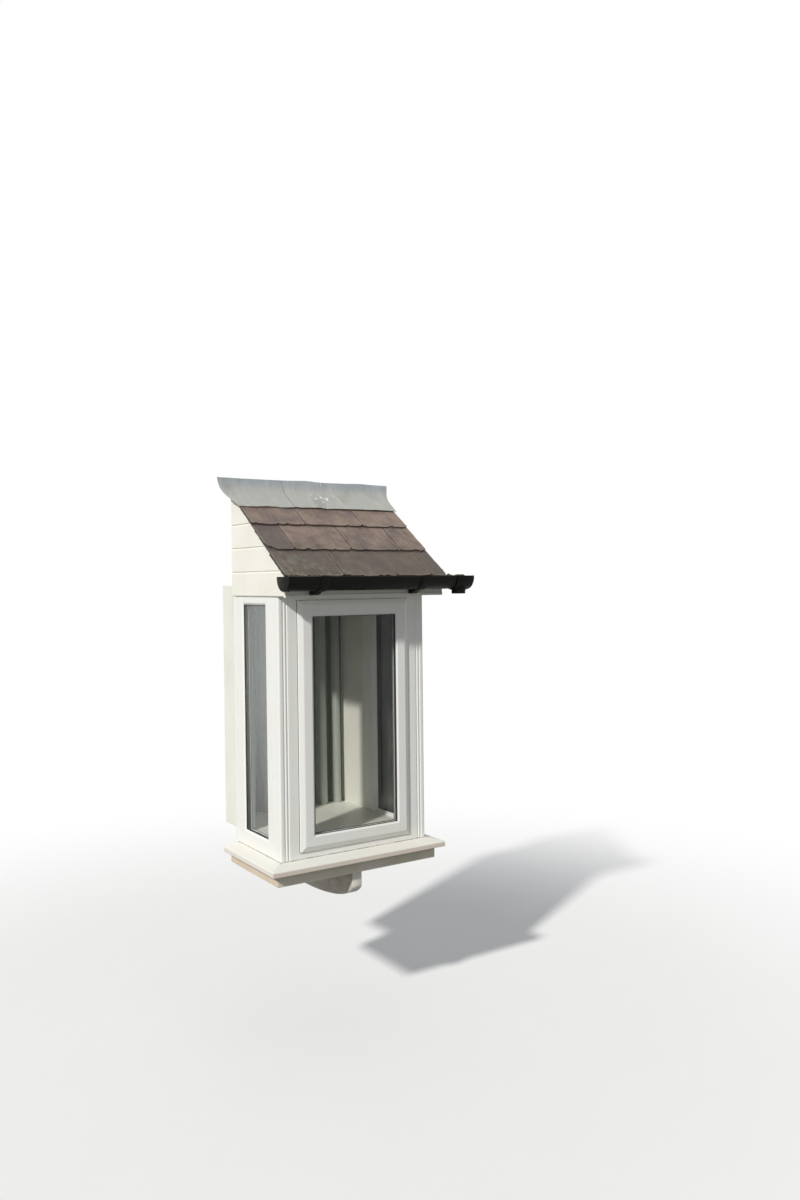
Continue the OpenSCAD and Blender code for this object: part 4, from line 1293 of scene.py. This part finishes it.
# The third value of each course darkens its slates just below what covers them: partly grit, partly painted
# shade.
COURSES = [
    ("eaves_slates", EAVES_Y + GAUGE, 0.55, [(ROOF_L, -0.35), (-0.120, -0.2), (0.166, 0.1), (0.370, -0.3)]),
    ("middle_slates", EAVES_Y + 2 * GAUGE, 0.55,
     [(ROOF_L, -0.9), (-0.285, 0.55), (0.024, 0.2), (0.305, 0.35)]),
    ("top_slates", -LEAD_RUN, 0.2, [(ROOF_L, 0.1), (-0.134, 0.3), (0.193, 0.6)]),
]
BROKEN = {("middle_slates", 0): 0.055}
for course, (name, cover_y, grime, cuts) in enumerate(COURSES):
    ends = [x for x, _ in cuts[1:]] + [ROOF_R]
    made = [one_slate(x0, x1, tone, course, cover_y, 100 * course + 17 * n + 5, BROKEN.get((name, n), 0),
                      grime=grime) for n, ((x0, tone), x1) in enumerate(zip(cuts, ends))]
    if course == 0:
        (points, faces), tone, worn, dirt = one_slate(ROOF_L + 0.002, ROOF_R - 0.002, -0.5, 0, EAVES_Y, 900,
                                                      gauges=0.95)
        made.append(((points - (0, -0.003, STEP), faces), tone, worn * 0, dirt))
    parts, *numbers = zip(*made)
    values = {key: np.concatenate(some) for key, some in zip(("tone", "worn", "dirt"), numbers)}
    piece(name, parts, slate, None if course else "slate_courses", 35, values)

# %% [markdown]
# ## The lead flashing
#
# Lead is dressed down by hand. It stands against the wall, sweeps over and lies on the slates. Height
# above the slates falls away as exp(y / k), which is steep at the wall and flat soon after. The two
# ends flare out at the wall, and a lap shows where two lengths meet.

# %% Lead flashing
lead_low, lead_high = corners("lead_flashing")
LEAD_T = 0.003
LEAD_FOOT = course_z(0, 2)
LEAD_UP = lead_high[2] - LEAD_FOOT
LEAD_PAST = 0.004
OVER_SLATES = 0.0035
SWEEP = 0.013
LAP_STEP = 0.0024


def lead_grid():
    """Middle surface of the sheet: u across, and v from its top edge on the wall to its lower edge."""
    t = np.linspace(0, 1, 400)
    y = -LEAD_T / 2 - (LEAD_RUN - LEAD_T) * t ** 2.2
    z = course_z(y, 2) + (LEAD_UP - 0.001) * np.exp(y / SWEEP) * (1 - t) + OVER_SLATES
    run = np.concatenate([[0], np.cumsum(np.hypot(np.diff(y), np.diff(z)))])
    v = np.linspace(0, run[-1], 60)
    line_y, line_z = np.interp(v, run, y), np.interp(v, run, z)
    u = np.linspace(0, 1, 240)[:, None]
    flare = -line_y / LEAD_RUN
    left = lead_low[0] + (ROOF_L - LEAD_PAST - lead_low[0]) * flare ** 0.8
    right_end = ROOF_R + LEAD_PAST + (lead_high[0] - ROOF_R - LEAD_PAST) * np.exp(line_y / 0.05)
    x = left * (1 - u) + right_end * u
    wave = 0.5 + 0.5 * rough(x, 0, 0.07, 41)
    far = np.clip(flare * 1.4 - 0.4, 0, 1)
    y = line_y + 0.003 * far * (wave - 0.6)
    over = np.clip(ROOF_L - x, 0, 1) + np.clip(x - ROOF_R, 0, 1)
    dressed = 0.0016 * rough(x, line_y * 1.5, 0.05, 42) + 0.0008 * rough(x, line_y, 0.017, 43)
    lap = LAP_STEP * (x > LAP_X)
    off = np.clip(flare * 6, 0, 1)
    z = line_z + (dressed + lap) * off + 0.0012 * far * wave - 0.35 * over * flare
    z += SLOPE * (y - line_y)
    standing = np.clip((line_z - LEAD_FOOT) / LEAD_UP, 0, 1)
    z -= 0.006 * (0.5 + 0.5 * rough(x, 0, 0.11, 44)) * standing
    y = y - (dressed * 0.8 + lap) * (1 - off) * np.clip((LEAD_UP - line_z + LEAD_FOOT) / 0.02, 0, 1)
    return np.stack([x, y, z], -1)


middle = lead_grid()
normals = np.cross(np.gradient(middle, axis=0), np.gradient(middle, axis=1))
normals /= np.linalg.norm(normals, axis=-1, keepdims=True)
normals *= np.sign(normals[..., 2:3] - normals[..., 1:2])
faces_of_lead = []
for way, clear in ((1, 0.0005), (-1, 0.0002)):
    grid = middle + way * normals * LEAD_T / 2
    grid[..., 1] = np.minimum(grid[..., 1], -clear)
    grid[..., 2] = np.minimum(grid[..., 2], lead_high[2])
    faces_of_lead.append(grid)
piece("dressed_lead", [sheet_of(*faces_of_lead)], lead, "lead_flashing", 50)

# %% [markdown]
# ## The gutter
#
# A half-round channel with a rolled front lip. The section is an outer arc, the lips, and an inner arc
# back again. Stop end, outlet and brackets are the same section, a little larger, over short lengths.

# %% Gutter channel
gutter_low, gutter_high = corners("gutter")
GUTTER_R = (gutter_high[1] - gutter_low[1]) / 2
GUTTER_Y = (gutter_high[1] + gutter_low[1]) / 2
GUTTER_T = 0.003
LIP_RISE = 0.005
LIP_Z = gutter_high[2]
AXIS_Z = LIP_Z - LIP_RISE
ROLL_R = 0.0035


def arc(radius, begin=np.pi, end=2 * np.pi, count=40):
    """Points round a circle, by default the lower half of it from front to back."""
    turn = np.linspace(begin, end, count)
    return np.stack([np.cos(turn), np.sin(turn)], 1) * radius


def channel(radius, thickness, rolled=False):
    """Outline of a half-round channel in y and z: outer arc, back lip, inner arc, front lip."""
    inside = radius - thickness
    back = [(radius, LIP_RISE), (inside, LIP_RISE)]
    front = [(-inside, LIP_RISE), (-radius, LIP_RISE)]
    if rolled:
        roll = arc(ROLL_R, 0, 1.6 * np.pi, 10) + (-radius + ROLL_R - 0.0005, LIP_RISE - ROLL_R)
        front = np.concatenate([[(-inside, LIP_RISE - 0.004)], roll])
    return np.concatenate([arc(radius), back, arc(inside)[::-1], front]) + (GUTTER_Y, AXIS_Z)


def half_disc(radius):
    """Outline that closes a channel's end."""
    return np.concatenate([arc(radius), [(radius, LIP_RISE), (-radius, LIP_RISE)]]) + (GUTTER_Y, AXIS_Z)


trough = length_of(channel(GUTTER_R, GUTTER_T, True), gutter_low[0], gutter_high[0], 0.0004)
piece("gutter_channel", [trough], black, "gutter", 35)

# %% Stop end and outlet
SOCKET_R = GUTTER_R + 0.0033
stop_low, stop_high = corners("gutter_stop_end")
stop_parts = [
    length_of(half_disc(SOCKET_R), stop_low[0], gutter_low[0], 0.0012),
    length_of(channel(SOCKET_R, GUTTER_T), gutter_low[0], stop_high[0], 0.0008),
]
piece("stop_end", stop_parts, black, "gutter_stop_end", 35)

SPIGOT_R, SPIGOT_T, SPIGOT_EDGE = 0.034, 0.003, 0.0008
SHOULDER_R, SHOULDER_EDGE = 0.038, 0.001
RIM_BAND, RIM_OUT = 0.012, 0.0006
SHOULDER_DOWN, MOUTH_DOWN = 0.006, 0.045
outlet_low, outlet_high = corners("gutter_outlet")
outlet_x = gutter_high[0] - (gutter_high[0] - outlet_low[0]) / 2
shoulder_z, foot_z, mouth_z = gutter_low[2] - SHOULDER_DOWN, outlet_low[2], AXIS_Z - MOUTH_DOWN
spigot_line = [
    (SPIGOT_R, shoulder_z), (SPIGOT_R, foot_z + SPIGOT_EDGE), (SPIGOT_R - SPIGOT_EDGE, foot_z),
    (SPIGOT_R - SPIGOT_T, foot_z), (SPIGOT_R - SPIGOT_T, mouth_z), (SHOULDER_R, mouth_z),
    (SHOULDER_R, shoulder_z + SHOULDER_EDGE), (SHOULDER_R - SHOULDER_EDGE, shoulder_z),
]
ring = arc(1, 0, 2 * np.pi, 49)[:-1]
rings = [np.column_stack([ring * r + (outlet_x, GUTTER_Y), np.full(len(ring), z)]) for r, z in spigot_line]
outlet_parts = [
    length_of(half_disc(SOCKET_R), gutter_high[0], outlet_high[0], 0.0012),
    length_of(channel(SOCKET_R, GUTTER_T), outlet_low[0], gutter_high[0], 0.0008),
    length_of(channel(SOCKET_R + RIM_OUT, 0.002), outlet_low[0], outlet_low[0] + RIM_BAND, 0.0004),
    skin(np.stack(rings), closed=True),
]
piece("outlet", outlet_parts, black, "gutter_outlet", 35)

# %% Gutter brackets
STRAP_R, STRAP_W = GUTTER_R + 0.004, 0.044
PLATE_W, PLATE_T = 0.036, 0.0037
SCREW_APART, SCREW_DOWN = 0.020, 0.012
tail_z = low("gutter_brackets")[2]
bracket_x = high("gutter_brackets")[0] - STRAP_W / 2
web = rounded([(FASCIA_Y - 0.003, tail_z), (FASCIA_Y - 0.003, AXIS_Z - 0.030),
               (GUTTER_Y + 0.048, AXIS_Z - 0.042), (GUTTER_Y, AXIS_Z - STRAP_R + 0.002),
               (GUTTER_Y + 0.004, AXIS_Z - STRAP_R - 0.001), (FASCIA_Y - 0.022, tail_z)], 0.002)
bracket_parts, screw_parts = [], []
for x in (-bracket_x, bracket_x):
    left, right_edge = x - PLATE_W / 2, x + PLATE_W / 2
    bracket_parts += [
        length_of(channel(STRAP_R, PLATE_T), x - STRAP_W / 2, x + STRAP_W / 2, 0.001),
        plank((left, FASCIA_Y - PLATE_T, tail_z), (right_edge, FASCIA_Y, LIP_Z), "x", 0.001),
        length_of(web, left, right_edge),
    ]
    for screw_x in (x - SCREW_APART / 2, x + SCREW_APART / 2):
        heads = [(screw_x, FASCIA_Y - PLATE_T - d, LIP_Z - SCREW_DOWN) for d in (0.0, 0.0012, 0.0022)]
        screw_parts.append(stack_of(heads, [(0.004, 0.004), (0.004, 0.004), (0.0026, 0.0026)], (0, 2), 2, 16))
piece("gutter_straps", bracket_parts, black, "gutter_brackets", 35)
piece("bracket_screws", screw_parts, zinc, smooth_below=40)

# %% [markdown]
# Moss and grit wash off the slates and lie in the channel. It is a low heap along the gutter whose
# height is noise, and at the two ends, where it gathers, it rises a little over the lip.

# %% Moss in the gutter
def moss_heap(x0, x1, level, seed, half=0.040, middle=0.004):
    """A strip of lumps: across the channel it is a rounded heap, and along it the height is noise."""
    along, side = np.meshgrid(np.linspace(x0, x1, 260), np.linspace(-1, 1, 22), indexing="ij")
    heap = 0
    for amount, cell, n in ((0.8, 0.03, 0), (0.5, 0.009, 1), (0.35, 0.0045, 2)):
        heap = heap + amount * rough(along, side * 0.03, cell, seed + n)
    y = GUTTER_Y + middle + side * half
    floor_z = AXIS_Z - np.sqrt((GUTTER_R - GUTTER_T) ** 2 - (side * half + middle) ** 2)
    ends = np.clip((along - x0) * (x1 - along) / 0.0006, 0, 1)
    top_z = np.maximum(floor_z + 0.002, level - 0.03 * (1 - ends) + 0.010 * heap * (1 - side ** 2))
    return sheet_of(np.stack([along, y, top_z], -1), np.stack([along, y, floor_z + 0.0005], -1))


heaps = [
    moss_heap(gutter_low[0] + 0.012, outlet_low[0] + 0.004, LIP_Z - 0.026, 61),
    moss_heap(gutter_low[0] + 0.004, gutter_low[0] + 0.165, LIP_Z + 0.0005, 66, 0.016, -0.034),
    moss_heap(outlet_low[0] - 0.070, outlet_low[0] + 0.060, LIP_Z - 0.001, 68, 0.014, -0.034),
]
piece("gutter_moss", heaps, moss, smooth_below=60)

# %% [markdown]
# ## Curtains
#
# A pair of curtains hangs on the rail. The cloth is gathered at the top into narrow pleats that open
# into four deep folds. Each row of the cloth is a wave whose size grows from top to hem, and its cut
# width is the length of that wave.

# %% Curtains
RAIL_Y = (low("curtain_rail")[1] + high("curtain_rail")[1]) / 2
HEM_Z, HEAD_Z = low("left_curtain")[2] - 0.0042, high("left_curtain")[2]
CLOTH_T = 0.0012
FOLD_HALF, FOLD_MOST = 0.0255, 0.0285
CLOTH_ROWS, CLOTH_COLUMNS = 90, 420


def curtain(name, node, valleys, over, seed):
    """A sheet hung in folds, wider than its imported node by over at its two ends. valleys are the x of
    each deep fold, from left to right.

    Phase turns once from one valley to the next, and y = rail + half * cos(phase) puts the valleys
    at the back. Sideways the cloth leans over by a share of sin(2 phase), which rounds the folds."""
    x_low, x_high = low(node)[0] - over[0], high(node)[0] + over[1]
    x = np.linspace(x_low, x_high, CLOTH_COLUMNS)[:, None]
    turns = np.interp(x, valleys, np.arange(len(valleys)))
    fall = np.linspace(0, 1, CLOTH_ROWS)[None]
    drift = 0.006 * rough(x * 3, fall * 0.35, 0.12, seed)
    phase = 2 * np.pi * turns
    size = FOLD_HALF * (0.62 + 0.38 * fall ** 0.5) * (1 + 0.12 * rough(turns, fall, 0.6, seed + 1))
    pleat = np.exp(-fall / 0.03) * 0.005 * np.sin(phase * 3)
    y = RAIL_Y + np.clip(size * np.cos(phase) + pleat + drift * 0.5, -FOLD_MOST, FOLD_MOST)
    lean = 0.006 * np.sin(2 * phase) * (0.4 + 0.6 * fall)
    lean = lean + drift * np.sin(np.pi * (x - x_low) / (x_high - x_low))
    z = HEAD_Z - (HEAD_Z - HEM_Z) * fall + np.zeros_like(x)
    grid = np.stack([x + lean, y, z], -1)
    run = np.linalg.norm(np.diff(grid, axis=0), axis=-1).cumsum(0)
    run = np.concatenate([np.zeros((1, CLOTH_ROWS)), run])
    normal = np.cross(np.gradient(grid, axis=0), np.gradient(grid, axis=1))
    normal /= np.linalg.norm(normal, axis=-1, keepdims=True)
    half = normal * (CLOTH_T / 2 * (1 + 0.9 * (fall > 0.965)))[..., None]
    # How deep each point lies in a fold, which the cloth paints as shade.
    fold = 0.5 + 0.5 * np.cos(phase) * (1 - 0.25 * fall)
    made = piece(name, [sheet_of(grid + half, grid - half)], cloth, node, 70,
                 {"fold": np.concatenate([0.7 - 0.7 * fold.ravel(), fold.ravel()])})
    layer = made.data.uv_layers.new(name="cloth")
    corner = np.zeros(len(made.data.loops), int)
    made.data.loops.foreach_get("vertex_index", corner)
    flat = np.stack([run, fall * (HEAD_Z - HEM_Z) + np.zeros_like(run)], -1).reshape(-1, 2)
    layer.data.foreach_set("uv", np.concatenate([flat, flat])[corner].ravel())


curtain("right_drape", "right_curtain", [-0.020, 0.060, 0.145, 0.256, 0.331], (0.002, 0.004), 71)
curtain("left_drape", "left_curtain", [-0.345, -0.262, -0.180, -0.098, -0.010], (0.004, 0.002), 75)

# %% [markdown]
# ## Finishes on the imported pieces
#
# The glass, the spacers, the base and the hidden timber are right as packed, so they only get a finish.

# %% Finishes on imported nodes
as_packed = {
    "front_glass": clear_glass, "left_glass": bright_glass, "right_glass": dark_glass,
    "glass_spacers": spacer, "base_board": board, "base_block": foam, "head_plates": pine_x,
    "wall_ledger": pine_x, "rafters": pine_y, "cheek_studs": pine_z, "roof_deck": ply,
}
for node, look in as_packed.items():
    dress(look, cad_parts[node])
print("packed pieces dressed:", len(as_packed))

# %% [markdown]
# ## Light and floor
#
# A plain studio: even light from all round, and one broad key from the upper left, where the sun stands
# in the real view. Together they give a pale surface about the brightness its colour is written with.
# The backdrop is white to the camera, to reflections and through glass, and the floor fades into it.

# %% Light and backdrop
SUN_FROM = np.array([-0.734, -0.375, 0.566])
SUN_STRENGTH = 2.95
SUN_ANGLE = np.radians(3.2)
AMBIENT = 0.43

sun = in_scene("key", bpy.data.lights.new("key", "SUN"))
sun.data.energy = SUN_STRENGTH
sun.data.angle = SUN_ANGLE
sun.data.color = (1.0, 0.985, 0.955)
side_way = np.cross([0, 0, 1], SUN_FROM)
side_way /= np.linalg.norm(side_way)
sun.matrix_world = turned(side_way, np.cross(SUN_FROM, side_way), SUN_FROM)


def seen_by(start, *kinds):
    """1 for rays of those kinds and 0 for all others, so that a white backdrop lights nothing."""
    rays = start.node("LightPath").socket.node.outputs
    seen = Socket(start.tree, rays[kinds[0]])
    for kind in kinds[1:]:
        seen = start.math("MAXIMUM", seen, Socket(start.tree, rays[kind]))
    return seen


world = bpy.data.worlds.new("studio")
bpy.context.scene.world = world
world.use_nodes = True
seen = seen_by(Socket(world.node_tree), "Is Camera Ray", "Is Glossy Ray", "Is Transmission Ray")
background = world.node_tree.nodes["Background"]
sky = blend(seen, (AMBIENT * 0.97, AMBIENT * 0.99, AMBIENT * 1.03), (1, 1, 1))
world.node_tree.links.new(sky.socket, background.inputs["Color"])
background.inputs["Strength"].default_value = 1.0

# %% Floor
FLOOR_Z = -0.85
FLOOR_HALF = 14.0
FADE_FROM, FADE_TO = 1.6, 5.0


def pale_floor(start):
    """A mottled pale grey to the eye, and dark to all other light, so that it throws little light up."""
    speckle = blend(noise(start, 3) * 0.3, (0.90, 0.90, 0.89), (0.84, 0.84, 0.83))
    seen = seen_by(start, "Is Camera Ray", "Is Glossy Ray")
    return {"Base Color": blend(seen, (0.16, 0.16, 0.15), speckle), "Roughness": 0.9}


floor_mesh = bpy.data.meshes.new("floor")
square = [(x, y, FLOOR_Z) for x, y in rectangle(-FLOOR_HALF, -FLOOR_HALF, FLOOR_HALF, FLOOR_HALF)]
floor_mesh.from_pydata(square, [], [(0, 1, 2, 3)])
floor = in_scene("floor", floor_mesh)
floor_look = finish("pale_floor", pale_floor, Specular_IOR_Level=0.1)
dress(floor_look, floor)

floor_tree = floor_look.node_tree
start = Socket(floor_tree)
x, y, _ = split(place_on(start))
fade = between(start.math("SQRT", x * x + y * y), FADE_FROM, FADE_TO)
fade = fade * seen_by(start, "Is Camera Ray", "Is Glossy Ray")
shader = Socket(floor_tree, floor_tree.nodes["Principled BSDF"].outputs[0])
mixed = start.node("MixShader", None, {0: fade, 1: shader, 2: start.node("Emission")})
floor_tree.links.new(mixed.socket, floor_tree.nodes["Material Output"].inputs["Surface"])

bpy.context.scene.view_settings.view_transform = "Standard"
print("key light", SUN_STRENGTH, "ambient", AMBIENT)
